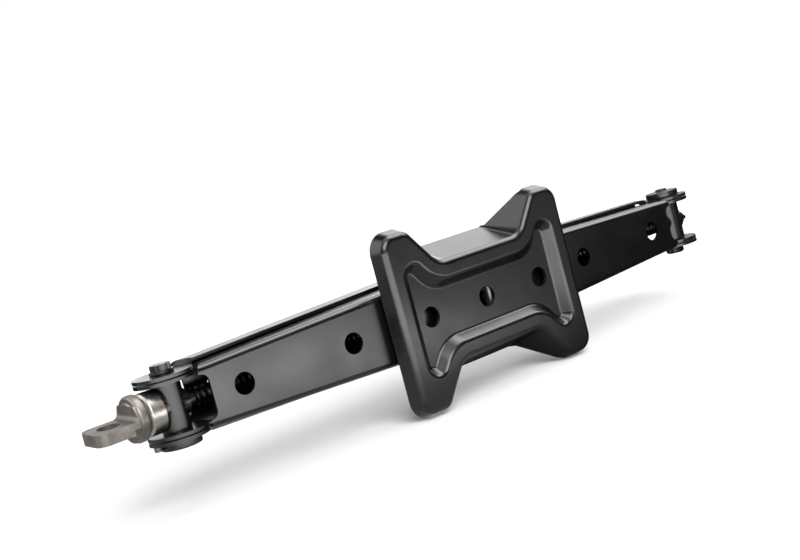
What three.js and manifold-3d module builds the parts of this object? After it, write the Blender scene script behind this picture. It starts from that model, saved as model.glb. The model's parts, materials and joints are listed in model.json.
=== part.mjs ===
// Scissor stabilizer jack, folded flat and standing on its base plate.
// Millimetres, +Z up, X along the drive screw with the drive end at -X.
import * as THREE from "three";
import { mergeVertices } from "three/addons/utils/BufferGeometryUtils.js";
import Module from "manifold-3d";

// Linkage: both halves and both levels use one arm length.
const armLength = 265;
const pivotX = 17;
const basePivotZ = 23.5;
const trunnionZ = 46;
const foldedRise = trunnionZ - basePivotZ;
const trunnionX = pivotX + Math.sqrt(armLength ** 2 - foldedRise ** 2);
const topPivotZ = 2 * trunnionZ - basePivotZ;

// Clearances and the overrun of every cut.
const gap = 0.3;
const runningGap = 0.25;
const overrun = 6;

// Base plate: a deep-drawn bow-tie tray, measured on the fold between its rim ring and its skirt.
const plateSheet = 3;
const plateHalfLength = 96.4;
const diagonalRun = 33.4;
const diagonalX = plateHalfLength - diagonalRun;
const diagonalY = 62.5;
const diagonalAngle = THREE.MathUtils.degToRad(52);
const hornHalf = 71.5;
const hornRadius = 12;
const shoulderRadius = 10;
const recessTipRadius = 24.1;
const recessReach = 8;
const arcShare = 0.97;
const neckRadius = 17;
const mostNeckRadius = 30;
const panelInset = 20.4;
const panelMargin = 3;
const recessDepth = 7.8;
const recessRun = 7;
const recessFootRadius = 3;
const crestRadius = 5;
const foldRadius = 6;
const skirtDraft = 0.33;
const skirtDepth = 40;
const endSkirtDepth = 13;
const skirtEndRun = 27.4;
const skirtStepRun = 54.4;
const webHoleRadius = 8.5;
const plateHoleInset = 34.9;

// Arms: tapered channels, with flat gear plates at the centre and flat ears at the trunnions.
const armSheet = 2.5;
const bendRadius = 5;
const midGap = 0.7;
const webPivotDrop = 7.4;
const webSlope = 0.0364;
const lowerGearHalf = 31.6;
const lowerEndHalf = 23.6;
const upperGearHalf = lowerGearHalf + armSheet;
const endSpread = 1.6;
const upperEndHalf = lowerEndHalf + armSheet + endSpread;
const gearPlateEnd = 40;
const channelStart = 31;
const earOuterHalf = 24.3;
const earPitch = 3.7;
const earInnerHalf = earOuterHalf - earPitch;
const earRadius = 22.5;
const dishRadius = 27;
const windowX = 257;
const windowHalf = 16.8;
const windowCorner = 6;
const nearHoleX = 131.6;
const farHoleX = 230.6;
const hubRadius = 11.5;

// Gear teeth cut in the ends of the arms.
const gearModule = 2;
const pitchRadius = pivotX;
const gearTeeth = Math.round((2 * pitchRadius) / gearModule);
const pressureAngle = THREE.MathUtils.degToRad(20);
const backlash = 0.3;
const rootShare = 1.15;
const tipShare = 0.92;
const sectorTeeth = 5;

// Base and top pivot pins, and the cheeks that carry the lower arms in the tray.
const pinRadius = 5;
const pinHeadRadius = 8.5;
const pinHeadThick = 3.2;
const cheekSheet = 3;
const cheekOverhang = 16;
const cheekHalfLength = pivotX + cheekOverhang;
const cheekRise = 12;
const cheekCorner = 11;
const waistRoom = 5.35;
const plateWaist = lowerGearHalf + runningGap + cheekSheet + waistRoom;

// Trunnions, their studs, washers and nuts.
const barrelRadius = 11;
const nutBarrelRadius = 12.2;
const journalRadius = 7.5;
const seatRadius = 10;
const seatReach = 11.3;
const studDepth = 6;
const washerRadius = 9.2;
const washerThick = 2;
const nutRadius = 8.6;
const nutThick = 4.5;
const capRadius = 15.4;
const capThick = 5.4;
const capPinRadius = 5.4;
const capPinReach = 2.5;
const dowelRadius = 3;
const dowelReach = 3.6;
const shimRadius = 12;
const shimThick = 0.6;

// Drive screw, its forged disc and tang, and the thrust bearing.
const screwRadius = 7;
const screwTipReach = 18.5;
const stopPinRadius = 2;
const stopPinHalf = 9;
const shellRadius = 16.2;
const shellLength = 13.7;
const shellWall = 1.9;
const shellBevel = 2.6;
const raceThick = 2.5;
const raceRadius = 13.9;
const ballRadius = 2.2;
const ballCircle = 10.6;
const ballCount = 8;
const cageThick = 1.6;
const cageHalfWidth = 1.3;
const discRadius = 17.5;
const discThick = 7.9;
const discEdge = 1.6;
const tangThick = 9;
const tangHeight = 32;
const tangLength = 32.5;
const tangCorner = 5;
const tangOffset = 3.5;
const tangTurn = THREE.MathUtils.degToRad(3.8);
const eyeRadius = 8.5;
const eyeInset = 16;

// Top bracket: a short saddle over the upper gear plates, bolted through its flat top.
const saddleOverhang = 18;
const saddleHalfLength = pivotX + saddleOverhang;
const saddleSheet = 3;
const saddleDrop = 35.5;
const saddleBend = 5;
const saddleHoleX = 24;
const saddleHoleY = 18;
const saddleHoleRadius = 4.5;
const saddleEarRadius = 12;

// Facets of round shapes.
const holeSides = 18;
const turnedSides = 20;
const cornerSteps = 3;
const outlineSteps = 5;
const ballSides = 6;

const blackPaint = { color: 0x0e0e10, roughness: 0.32, metalness: 0.1 };
const bareSteel = { color: 0x8d8782, roughness: 0.45, metalness: 0.9 };
const zincSteel = { color: 0x77787a, roughness: 0.4, metalness: 0.9 };

const wasm = await Module();
wasm.setup();

// A closed geometry as a solid that can be cut and joined.
function solidOf(geometry) {
  const bare = new THREE.BufferGeometry();
  const source = geometry.index ? geometry.toNonIndexed() : geometry;
  bare.setAttribute("position", source.getAttribute("position"));
  const merged = mergeVertices(bare);
  return new wasm.Manifold(
    new wasm.Mesh({
      numProp: 3,
      vertProperties: new Float32Array(merged.attributes.position.array),
      triVerts: new Uint32Array(merged.index.array),
    }),
  );
}

// A solid back as a geometry with flat-shaded faces.
function geometryOf(solid) {
  const mesh = solid.getMesh();
  const positions = new Float32Array(mesh.numVert * 3);
  for (let i = 0; i < mesh.numVert; i += 1) {
    const start = i * mesh.numProp;
    positions.set(mesh.vertProperties.subarray(start, start + 3), i * 3);
  }
  const indexed = new THREE.BufferGeometry();
  indexed.setAttribute("position", new THREE.BufferAttribute(positions, 3));
  indexed.setIndex(new THREE.BufferAttribute(new Uint32Array(mesh.triVerts), 1));
  const flat = indexed.toNonIndexed();
  flat.computeVertexNormals();
  return flat;
}

function join(first, ...others) {
  return others.reduce((sum, solid) => sum.add(solid), first);
}

function cut(body, ...tools) {
  return tools.reduce((rest, tool) => rest.subtract(tool), body);
}

function shapeOf(points) {
  return new THREE.Shape(points.map(([a, b]) => new THREE.Vector2(a, b)));
}

// An outline of X, Z points as a plate between two places on Y.
function plateAcrossY(points, low, high) {
  const geometry = new THREE.ExtrudeGeometry(shapeOf(points), { depth: high - low, bevelEnabled: false });
  geometry.rotateX(Math.PI / 2);
  geometry.translate(0, high, 0);
  return solidOf(geometry);
}

// An outline of X, Y points as a plate between two heights.
function plateAcrossZ(points, low, high) {
  const geometry = new THREE.ExtrudeGeometry(shapeOf(points), { depth: high - low, bevelEnabled: false });
  geometry.translate(0, 0, low);
  return solidOf(geometry);
}

function rodY(radius, low, high, x, z, sides = turnedSides) {
  const geometry = new THREE.CylinderGeometry(radius, radius, high - low, sides);
  geometry.translate(x, (low + high) / 2, z);
  return solidOf(geometry);
}

function rodX(radius, low, high, z, sides = turnedSides) {
  const geometry = new THREE.CylinderGeometry(radius, radius, high - low, sides);
  geometry.rotateZ(Math.PI / 2);
  geometry.translate((low + high) / 2, 0, z);
  return solidOf(geometry);
}

function rodZ(radius, low, high, x, y, sides = holeSides) {
  const geometry = new THREE.CylinderGeometry(radius, radius, high - low, sides);
  geometry.rotateX(Math.PI / 2);
  geometry.translate(x, y, (low + high) / 2);
  return solidOf(geometry);
}

// A profile of radius, place pairs turned about the X axis at the trunnion height.
function turnedAlongX(profile) {
  const points = profile.map(([radius, x]) => new THREE.Vector2(radius, x));
  const geometry = new THREE.LatheGeometry(points, turnedSides);
  geometry.rotateZ(-Math.PI / 2);
  geometry.translate(0, 0, trunnionZ);
  return solidOf(geometry);
}

// A polygon whose corners, given as a, b, radius, become arcs of equal step counts.
function rounded(corners, steps = cornerSteps) {
  const points = [];
  corners.forEach(([a, b, radius], i) => {
    const here = new THREE.Vector2(a, b);
    if (!radius) {
      points.push([a, b]);
      return;
    }
    const before = corners.at(i - 1);
    const after = corners[(i + 1) % corners.length];
    const back = new THREE.Vector2(before[0], before[1]).sub(here).normalize();
    const on = new THREE.Vector2(after[0], after[1]).sub(here).normalize();
    const half = Math.acos(THREE.MathUtils.clamp(back.dot(on), -1, 1)) / 2;
    const turn = Math.sign(on.cross(back)) * (Math.PI - 2 * half);
    const middle = back.clone().add(on).normalize().multiplyScalar(radius / Math.sin(half)).add(here);
    const start = back.multiplyScalar(radius / Math.tan(half)).add(here).sub(middle);
    for (let step = 0; step <= steps; step += 1) {
      const arm = start.clone().rotateAround(new THREE.Vector2(), (turn * step) / steps);
      points.push([middle.x + arm.x, middle.y + arm.y]);
    }
  });
  return points;
}

// A closed skin through rings of 3-D points, capped at both ends.
function loft(rings, flatten) {
  const count = rings[0].length;
  const positions = [];
  const face = (...corners) => corners.forEach((p) => positions.push(p.x, p.y, p.z));
  for (let k = 0; k + 1 < rings.length; k += 1) {
    for (let i = 0; i < count; i += 1) {
      const j = (i + 1) % count;
      face(rings[k][i], rings[k][j], rings[k + 1][j]);
      face(rings[k][i], rings[k + 1][j], rings[k + 1][i]);
    }
  }
  const last = rings.at(-1);
  THREE.ShapeUtils.triangulateShape(rings[0].map(flatten), []).forEach(([a, b, c]) =>
    face(rings[0][a], rings[0][c], rings[0][b]),
  );
  THREE.ShapeUtils.triangulateShape(last.map(flatten), []).forEach(([a, b, c]) =>
    face(last[a], last[b], last[c]),
  );
  const geometry = new THREE.BufferGeometry();
  geometry.setAttribute("position", new THREE.Float32BufferAttribute(positions, 3));
  return solidOf(geometry);
}

// The bow-tie outline moved outward by an offset, with equal points at every offset.
function bowTie(offset) {
  const endX = plateHalfLength + offset;
  const waistY = plateWaist + offset;
  const slope = Math.tan(diagonalAngle);
  const lineY = diagonalY + offset / Math.cos(diagonalAngle);
  const neckArc = Math.min(neckRadius - offset, mostNeckRadius);
  const neck = [diagonalX + (waistY - lineY) / slope, waistY, neckArc];
  const ends = offset < -recessReach ? recessEnd(endX, lineY, slope, offset) : hornEnd(endX, lineY, slope, offset);
  const quarter = [...ends, neck];
  const corners = (list, signX, signY) => list.map(([x, y, radius]) => [signX * x, signY * y, radius]);
  return rounded(
    [
      ...corners(quarter, 1, 1),
      ...corners(quarter.toReversed(), -1, 1),
      ...corners(quarter, -1, -1),
      ...corners(quarter.toReversed(), 1, -1),
    ],
    outlineSteps,
  );
}

// Corners of a horn with a flat side: the outer corner, then the shoulder on the diagonal.
function hornEnd(endX, lineY, slope, offset) {
  const hornY = hornHalf + offset;
  return [
    [endX, hornY, hornRadius + offset],
    [diagonalX + (hornY - lineY) / slope, hornY, shoulderRadius + offset],
  ];
}

// One round tip of the recess, drawn as two corners so that it has as many points as a horn.
function recessEnd(endX, lineY, slope, offset) {
  const radius = recessTipRadius + offset;
  const half = (Math.PI / 2 - diagonalAngle) / 2;
  const back = radius / Math.tan(half) - radius * Math.tan((Math.PI / 2 - half) / 2);
  const tipY = lineY + slope * (endX - diagonalX);
  return [
    [endX, tipY - back, radius * arcShare],
    [endX - back * Math.cos(diagonalAngle), tipY - back * Math.sin(diagonalAngle), radius * arcShare],
  ];
}

// Section of the tray from the panel over the rim ring and up the skirt, as outline offset and height.
function traySection(lift) {
  const wall = Math.atan2(recessDepth, recessRun);
  const skirt = Math.PI / 2 - Math.atan(skirtDraft);
  const top = skirtDepth + overrun + lift;
  const foot = -panelInset + lift * Math.tan(wall / 2);
  const crest = -panelInset + recessRun + lift * Math.tan(wall / 2);
  const fold = -lift * Math.tan(skirt / 2);
  const path = [
    [-panelInset - panelMargin, recessDepth + lift, 0],
    [foot, recessDepth + lift, recessFootRadius + lift],
    [crest, lift, crestRadius - lift],
    [fold, lift, foldRadius - lift],
    [fold + skirtDraft * (top - lift), top, 0],
  ];
  return rounded(path, cornerSteps);
}

function trayBody(lift) {
  const flatten = (p) => new THREE.Vector2(p.x, p.y);
  const rings = traySection(lift).map(([offset, height]) =>
    bowTie(offset).map(([x, y]) => new THREE.Vector3(x, y, height)),
  );
  return loft(rings, flatten);
}

function basePlate() {
  const far = plateHalfLength * 2;
  const stepX = plateHalfLength - skirtStepRun;
  const endX = plateHalfLength - skirtEndRun;
  const rim = [
    [-far, endSkirtDepth, 0],
    [-endX, endSkirtDepth, 0],
    [-stepX, skirtDepth, 0],
    [stepX, skirtDepth, 0],
    [endX, endSkirtDepth, 0],
    [far, endSkirtDepth, 0],
    [far, far, 0],
    [-far, far, 0],
  ];
  const trim = plateAcrossY(rounded(rim), -far, far);
  const holeX = plateHalfLength - plateHoleInset;
  const holes = [-holeX, 0, holeX].map((x) => rodZ(webHoleRadius, 0, plateHalfLength, x, 0));
  return cut(trayBody(0), trayBody(plateSheet), trim, ...holes);
}

// The web's outer height under a lower arm, and an arm's outer half width, by distance from the centre.
function webZ(x) {
  return basePivotZ - webPivotDrop + webSlope * (x - pivotX);
}

function armHalf(x, arm) {
  const share = THREE.MathUtils.clamp((x - gearPlateEnd) / (windowX - gearPlateEnd), 0, 1);
  return THREE.MathUtils.lerp(arm.gearHalf, arm.endHalf, share);
}

// Filled channel section lofted along the arm, drawn in by an inset on all sides.
function channelBody(arm, inset) {
  const radius = bendRadius - inset;
  const top = trunnionZ + earRadius + inset;
  const stations = [channelStart - inset, gearPlateEnd, windowX, trunnionX + inset];
  const rings = stations.map((x) => {
    const half = armHalf(x, arm) - inset;
    const low = webZ(x) + inset;
    const section = rounded([
      [-half, low, radius],
      [half, low, radius],
      [half, top, 0],
      [-half, top, 0],
    ]);
    return section.map(([y, z]) => new THREE.Vector3(x, y, z));
  });
  return loft(rings, (p) => new THREE.Vector2(p.y, p.z));
}

// Half angle of an involute tooth at a radius.
function toothHalf(radius) {
  const baseRadius = pitchRadius * Math.cos(pressureAngle);
  const involute = (angle) => Math.tan(angle) - angle;
  const angle = Math.acos(Math.min(baseRadius / radius, 1));
  const pitchHalf = (Math.PI * gearModule - backlash) / (4 * pitchRadius);
  return pitchHalf + involute(pressureAngle) - involute(angle);
}

// Toothed edge about the pivot, from a little under the mesh line up to the top of the sector.
function sectorEdge(phase) {
  const root = pitchRadius - rootShare * gearModule;
  const tip = pitchRadius + tipShare * gearModule;
  const radii = [root, pitchRadius * Math.cos(pressureAngle), pitchRadius, (pitchRadius + tip) / 2, tip];
  const at = (radius, angle) => [
    pivotX - radius * Math.cos(angle),
    basePivotZ + radius * Math.sin(angle),
  ];
  const points = [];
  for (let tooth = 0; tooth < sectorTeeth; tooth += 1) {
    const middle = ((tooth + phase) * 2 * Math.PI) / gearTeeth;
    radii.forEach((radius) => points.push(at(radius, middle - toothHalf(radius))));
    radii.toReversed().forEach((radius) => points.push(at(radius, middle + toothHalf(radius))));
  }
  return points;
}

// Flat plate with the hub and the toothed sector, running into the flange behind it.
function gearPlate(arm, phase, side) {
  const ceiling = trunnionZ - midGap / 2;
  const lap = gearPlateEnd + gearModule;
  const outline = [
    ...sectorEdge(phase),
    [channelStart, ceiling],
    [lap, ceiling],
    [lap, webZ(lap) + bendRadius],
    [(pivotX + lap) / 2, basePivotZ - hubRadius],
    [pivotX, basePivotZ - hubRadius],
    [pivotX - hubRadius * Math.SQRT1_2, basePivotZ - hubRadius * Math.SQRT1_2],
    [pivotX - hubRadius, basePivotZ - gearModule],
  ];
  const near = side * (arm.gearHalf - armSheet);
  const far = side * arm.gearHalf;
  const plate = plateAcrossY(outline.toReversed(), Math.min(near, far), Math.max(near, far));
  const hole = rodY(pinRadius + runningGap, -arm.gearHalf * 2, arm.gearHalf * 2, pivotX, basePivotZ);
  return plate.subtract(hole);
}

// Flat ear about the trunnion, dished out to the flange behind it.
function earPlate(arm, side) {
  const inner = arm.earHalf - armSheet;
  const outer = arm.earHalf;
  const rise = arm.endHalf - arm.earHalf;
  const profile = [
    [0, inner],
    [earRadius, inner],
    [dishRadius, inner + rise],
    [dishRadius + gap * 2, inner + rise],
    [dishRadius + gap * 2, outer + rise],
    [dishRadius, outer + rise],
    [earRadius, outer],
    [0, outer],
  ];
  const geometry = new THREE.LatheGeometry(
    profile.map(([radius, y]) => new THREE.Vector2(radius, y)),
    turnedSides * 2,
  );
  geometry.rotateZ(side < 0 ? Math.PI : 0);
  geometry.translate(trunnionX, 0, trunnionZ);
  const dish = solidOf(geometry);
  const ceiling = trunnionZ - midGap / 2;
  const start = trunnionX - dishRadius - gap * 2;
  const wedge = [
    [start, webZ(start) + bendRadius],
    [trunnionX, webZ(trunnionX) + bendRadius],
    [trunnionX, ceiling],
    [start, ceiling],
  ];
  const reach = arm.gearHalf * 2;
  const disc = rodY(earRadius, -reach, reach, trunnionX, trunnionZ, turnedSides * 2);
  const area = join(disc, plateAcrossY(wedge, -reach, reach));
  return dish.intersect(area);
}

// One arm in the place of the lower arm on the +X side.
function armSolid(arm, phase) {
  const reach = arm.gearHalf * 2;
  const far = trunnionX + earRadius;
  const ceiling = trunnionZ - midGap / 2;
  const hollow = channelBody(arm, armSheet);
  const above = plateAcrossY(
    [
      [0, ceiling],
      [far * 2, ceiling],
      [far * 2, far],
      [0, far],
    ],
    -reach,
    reach,
  );
  const trunnionClear = rodY(dishRadius, -reach, reach, trunnionX, trunnionZ, turnedSides * 2);
  const windowEnd = trunnionX + earRadius * 2;
  const opening = rounded([
    [windowX, -windowHalf, windowCorner],
    [windowEnd, -windowHalf, 0],
    [windowEnd, windowHalf, 0],
    [windowX, windowHalf, windowCorner],
  ]);
  const window = plateAcrossZ(opening, 0, trunnionZ);
  const tail = plateAcrossY(
    [
      [trunnionX - bendRadius * 2, 0],
      [windowEnd, 0],
      [windowEnd, far],
      [trunnionX - bendRadius * 2, far],
    ],
    -reach,
    reach,
  );
  const holes = [nearHoleX, farHoleX].map((x) => rodZ(webHoleRadius, 0, trunnionZ, x, 0));
  const channel = cut(channelBody(arm, 0), hollow, above, trunnionClear, window, tail, ...holes);
  const plates = [-1, 1].flatMap((side) => [gearPlate(arm, phase, side), earPlate(arm, side)]);
  const journalHole = rodY(journalRadius + runningGap, -reach, reach, trunnionX, trunnionZ);
  return join(channel, ...plates).subtract(journalHole);
}

// Half widths at the gear plates, where the web ends, and at the ears.
const lowerArm = { gearHalf: lowerGearHalf, endHalf: lowerEndHalf, earHalf: earInnerHalf };
const upperArm = { gearHalf: upperGearHalf, endHalf: upperEndHalf, earHalf: earOuterHalf };

// Upright plate welded in the rim channel of the tray, which carries both base pins.
function baseCheek() {
  const low = lowerGearHalf + runningGap;
  const foot = plateSheet + gap;
  const top = basePivotZ + cheekRise;
  const outline = rounded([
    [-cheekHalfLength, foot, 0],
    [cheekHalfLength, foot, 0],
    [cheekHalfLength, top, cheekCorner],
    [-cheekHalfLength, top, cheekCorner],
  ]);
  const plate = plateAcrossY(outline, low, low + cheekSheet);
  const holes = [-pivotX, pivotX].map((x) => rodY(pinRadius + runningGap, 0, low * 2, x, basePivotZ));
  return cut(plate, ...holes);
}

// Pivot pin headed at both ends outside the plates that carry it.
function headedPin(x, z, seat) {
  const high = seat + pinHeadThick;
  const shank = rodY(pinRadius, -high, high, x, z);
  const head = rodY(pinHeadRadius, seat, high, x, z);
  return join(shank, head, head.mirror([0, 1, 0]));
}

function basePin(x) {
  return headedPin(x, basePivotZ, lowerGearHalf + runningGap + cheekSheet + gap);
}

function topPin(x) {
  return headedPin(x, topPivotZ, upperGearHalf + runningGap + saddleSheet + gap);
}

// Saddle of bent sheet with a flat bolted top and round-bottomed pivot walls.
function topBracket() {
  const top = 2 * trunnionZ;
  const inner = upperGearHalf + runningGap;
  const outer = inner + saddleSheet;
  const bottom = top - saddleDrop;
  const sides = [-1, 1];
  const arch = (half, crown, radius) =>
    rounded([
      [-half, bottom - overrun, 0],
      [half, bottom - overrun, 0],
      [half, crown, radius],
      [-half, crown, radius],
    ]);
  const bar = (section, reach) =>
    loft(
      [-reach, reach].map((x) => section.map(([y, z]) => new THREE.Vector3(x, y, z))),
      (p) => new THREE.Vector2(p.y, p.z),
    );
  const full = bar(arch(outer, top, saddleBend), saddleHalfLength);
  const hollow = bar(arch(inner, top - saddleSheet, saddleBend - saddleSheet), saddleHalfLength * 2);
  const outline = rounded([
    [-saddleHalfLength, bottom, saddleEarRadius],
    [saddleHalfLength, bottom, saddleEarRadius],
    [saddleHalfLength, top, 0],
    [-saddleHalfLength, top, 0],
  ]);
  const side = plateAcrossY(outline, -outer, outer);
  const holes = sides.flatMap((sideX) =>
    sides.map((sideY) =>
      rodZ(saddleHoleRadius, bottom, top + overrun, sideX * saddleHoleX, sideY * saddleHoleY),
    ),
  );
  const pinHoles = [-pivotX, pivotX].map((x) => rodY(pinRadius + runningGap, -top, top, x, topPivotZ));
  return cut(full.intersect(side), hollow, ...holes, ...pinHoles);
}

const barrelHalf = earInnerHalf - armSheet - gap;
const journalEnd = earOuterHalf + gap;

// Cross bar with one long journal at -Y and a socket for the headed stud at +Y, bored for the screw.
function trunnionSolid(radius) {
  const barrel = rodY(radius, -barrelHalf, barrelHalf, 0, trunnionZ);
  const journal = rodY(journalRadius, -journalEnd - washerThick - gap - nutThick, 0, 0, trunnionZ);
  const seat = rodX(seatRadius, -seatReach, seatReach, trunnionZ);
  const socket = rodY(journalRadius + runningGap, barrelHalf - studDepth, barrelHalf * 2, 0, trunnionZ);
  const bore = rodX(screwRadius + runningGap, -barrelHalf * 2, barrelHalf * 2, trunnionZ);
  return cut(join(barrel, journal, seat), socket, bore);
}

// Headed stud that carries the ears on the other side of the cross bar.
function studSolid(endReach) {
  const foot = barrelHalf - studDepth + gap;
  const stem = rodY(journalRadius, foot, journalEnd + capThick, 0, trunnionZ);
  const head = rodY(capRadius, journalEnd, journalEnd + capThick, 0, trunnionZ);
  const solid = join(stem, head);
  if (!endReach) {
    return solid;
  }
  const end = rodY(capPinRadius, journalEnd, journalEnd + capThick + endReach, 0, trunnionZ);
  return join(solid, end);
}

function washerSolid() {
  const body = rodY(washerRadius, -journalEnd - washerThick, -journalEnd, 0, trunnionZ);
  return body.subtract(rodY(journalRadius + runningGap, -barrelHalf * 3, 0, 0, trunnionZ));
}

function nutSolid() {
  const low = -journalEnd - washerThick - gap - nutThick;
  const body = rodY(nutRadius, low, low + nutThick, 0, trunnionZ);
  return body.subtract(rodY(journalRadius + runningGap, -barrelHalf * 3, 0, 0, trunnionZ));
}

// Short bare dowel beside the left stud, standing on the ear.
function dowelSolid() {
  const offset = capRadius + gap + dowelRadius;
  return rodY(dowelRadius, journalEnd, journalEnd + dowelReach, -offset, trunnionZ, holeSides);
}

function shimSolid() {
  const middle = earOuterHalf - (armSheet + earPitch) / 2;
  const body = rodY(shimRadius, middle - shimThick / 2, middle + shimThick / 2, 0, trunnionZ);
  return body.subtract(rodY(journalRadius + runningGap, 0, barrelHalf * 3, 0, trunnionZ));
}

// Places along the screw, from the left cross bar's seat out to the tang, and the pin at the free end.
const seatX = -trunnionX - seatReach;
const shellEndX = seatX - gap;
const shellFaceX = shellEndX - shellLength;
const discFaceX = shellFaceX - gap;
const discBackX = discFaceX - discThick;
const tangEndX = discBackX - tangLength;
const rearRaceX = shellEndX - gap;
const ballX = rearRaceX - raceThick - gap - ballRadius;
const frontRaceX = ballX - ballRadius - gap;
const stopPinX = trunnionX + nutBarrelRadius + gap + stopPinRadius;

function shellSolid() {
  const bore = screwRadius + runningGap;
  const cavity = frontRaceX - raceThick - gap;
  return turnedAlongX([
    [bore, shellFaceX],
    [shellRadius - shellBevel, shellFaceX],
    [shellRadius, shellFaceX + shellBevel],
    [shellRadius, shellEndX],
    [shellRadius - shellWall, shellEndX],
    [shellRadius - shellWall, cavity],
    [bore, cavity],
    [bore, shellFaceX],
  ]);
}

function raceSolid(high) {
  const bore = screwRadius + runningGap;
  return turnedAlongX([
    [bore, high - raceThick],
    [raceRadius, high - raceThick],
    [raceRadius, high],
    [bore, high],
    [bore, high - raceThick],
  ]);
}

// Balls held in their flat cage ring.
function ballRing() {
  const ring = turnedAlongX([
    [ballCircle - cageHalfWidth, ballX - cageThick / 2],
    [ballCircle + cageHalfWidth, ballX - cageThick / 2],
    [ballCircle + cageHalfWidth, ballX + cageThick / 2],
    [ballCircle - cageHalfWidth, ballX + cageThick / 2],
    [ballCircle - cageHalfWidth, ballX - cageThick / 2],
  ]);
  const balls = Array.from({ length: ballCount }, (_, i) => {
    const angle = (i * 2 * Math.PI) / ballCount;
    const geometry = new THREE.SphereGeometry(ballRadius, ballSides, ballSides / 2);
    geometry.translate(ballX, ballCircle * Math.cos(angle), trunnionZ + ballCircle * Math.sin(angle));
    return solidOf(geometry);
  });
  return join(ring, ...balls);
}

// Screw, forged disc and flat tang in one piece.
function driveScrew() {
  const tip = trunnionX + screwTipReach;
  const turned = turnedAlongX([
    [0, discBackX],
    [discRadius - discEdge, discBackX],
    [discRadius, discBackX + discEdge],
    [discRadius, discFaceX - discEdge],
    [discRadius - discEdge, discFaceX],
    [screwRadius, discFaceX],
    [screwRadius, tip - discEdge],
    [screwRadius - discEdge, tip],
    [0, tip],
  ]);
  const stopHole = rodZ(stopPinRadius + runningGap, 0, trunnionZ * 2, stopPinX, 0);
  return join(turned.subtract(stopHole), tangSolid());
}

// Flat bar with an eye, forged a little off the screw's axis and turned a few degrees about it.
function tangSolid() {
  const half = tangHeight / 2;
  const root = discBackX + discThick / 2;
  const outline = rounded([
    [root, -half, 0],
    [root, half, 0],
    [tangEndX, half, tangCorner],
    [tangEndX, -half, tangCorner],
  ]);
  const low = tangOffset - tangThick / 2;
  const eye = rodY(eyeRadius, -tangHeight, tangHeight, tangEndX + eyeInset, 0);
  const flat = plateAcrossY(outline, low, low + tangThick).subtract(eye);
  return flat.rotate([THREE.MathUtils.radToDeg(tangTurn), 0, 0]).translate([0, 0, trunnionZ]);
}

function stopPin() {
  return rodZ(stopPinRadius, trunnionZ - stopPinHalf, trunnionZ + stopPinHalf, stopPinX, 0);
}

const group = new THREE.Group();
group.name = "scissor_stabilizer_jack";

function add(parent, name, solid, finish) {
  const mesh = new THREE.Mesh(geometryOf(solid), new THREE.MeshStandardMaterial(finish));
  mesh.name = name;
  parent.add(mesh);
  return mesh;
}

// The frame's origin lies under the middle of the folded jack's whole length.
const tailReach = trunnionX + earRadius;
const model = new THREE.Group();
model.position.x = -(tangEndX + tailReach) / 2;
group.add(model);

function addBase() {
  add(model, "base_plate", basePlate(), blackPaint);
  const cheek = baseCheek();
  add(model, "rear_base_cheek", cheek, blackPaint);
  add(model, "front_base_cheek", cheek, blackPaint).scale.y = -1;
  add(model, "left_base_pin", basePin(-pivotX), zincSteel);
  add(model, "right_base_pin", basePin(pivotX), zincSteel);
}

// Each arm is drawn at the lower right and mirrored to its place.
function addArms() {
  add(model, "lower_right_arm", armSolid(lowerArm, 0), blackPaint);
  add(model, "lower_left_arm", armSolid(lowerArm, 0.5), blackPaint).scale.x = -1;
  const upper = new THREE.Group();
  upper.position.z = 2 * trunnionZ;
  upper.scale.z = -1;
  model.add(upper);
  add(upper, "upper_right_arm", armSolid(upperArm, 0), blackPaint);
  add(upper, "upper_left_arm", armSolid(upperArm, 0.5), blackPaint).scale.x = -1;
}

function addTop() {
  add(model, "top_bracket", topBracket(), blackPaint);
  add(model, "left_top_pin", topPin(-pivotX), zincSteel);
  add(model, "right_top_pin", topPin(pivotX), zincSteel);
}

// The left cross bar has its headed stud at +Y, and the right one is the same turned half round.
function addTrunnions() {
  [["left", -trunnionX, 0], ["right", trunnionX, Math.PI]].forEach(([side, x, turn]) => {
    const place = new THREE.Group();
    place.position.x = x;
    place.rotation.z = turn;
    model.add(place);
    const bar = trunnionSolid(turn ? nutBarrelRadius : barrelRadius);
    add(place, `${side}_trunnion`, bar, blackPaint);
    add(place, `${side}_trunnion_stud`, studSolid(turn ? capPinReach : 0), blackPaint);
    add(place, `${side}_trunnion_washer`, washerSolid(), zincSteel);
    add(place, `${side}_trunnion_nut`, nutSolid(), zincSteel);
    const shim = shimSolid();
    add(place, `${side}_stud_shim`, shim, zincSteel);
    add(place, `${side}_journal_shim`, shim, zincSteel).scale.y = -1;
    if (!turn) {
      add(place, "locating_dowel", dowelSolid(), bareSteel);
    }
  });
}

function addDrive() {
  add(model, "drive_screw", driveScrew(), bareSteel);
  add(model, "thrust_shell", shellSolid(), bareSteel);
  add(model, "front_race", raceSolid(frontRaceX), bareSteel);
  add(model, "rear_race", raceSolid(rearRaceX), bareSteel);
  add(model, "ball_ring", ballRing(), bareSteel);
  add(model, "stop_pin", stopPin(), bareSteel);
}

addBase();
addArms();
addTop();
addTrunnions();
addDrive();

export default group;
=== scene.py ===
import json
import math

import bmesh
import bpy
from mathutils import Matrix, Vector
from mathutils.geometry import tessellate_polygon


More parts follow.
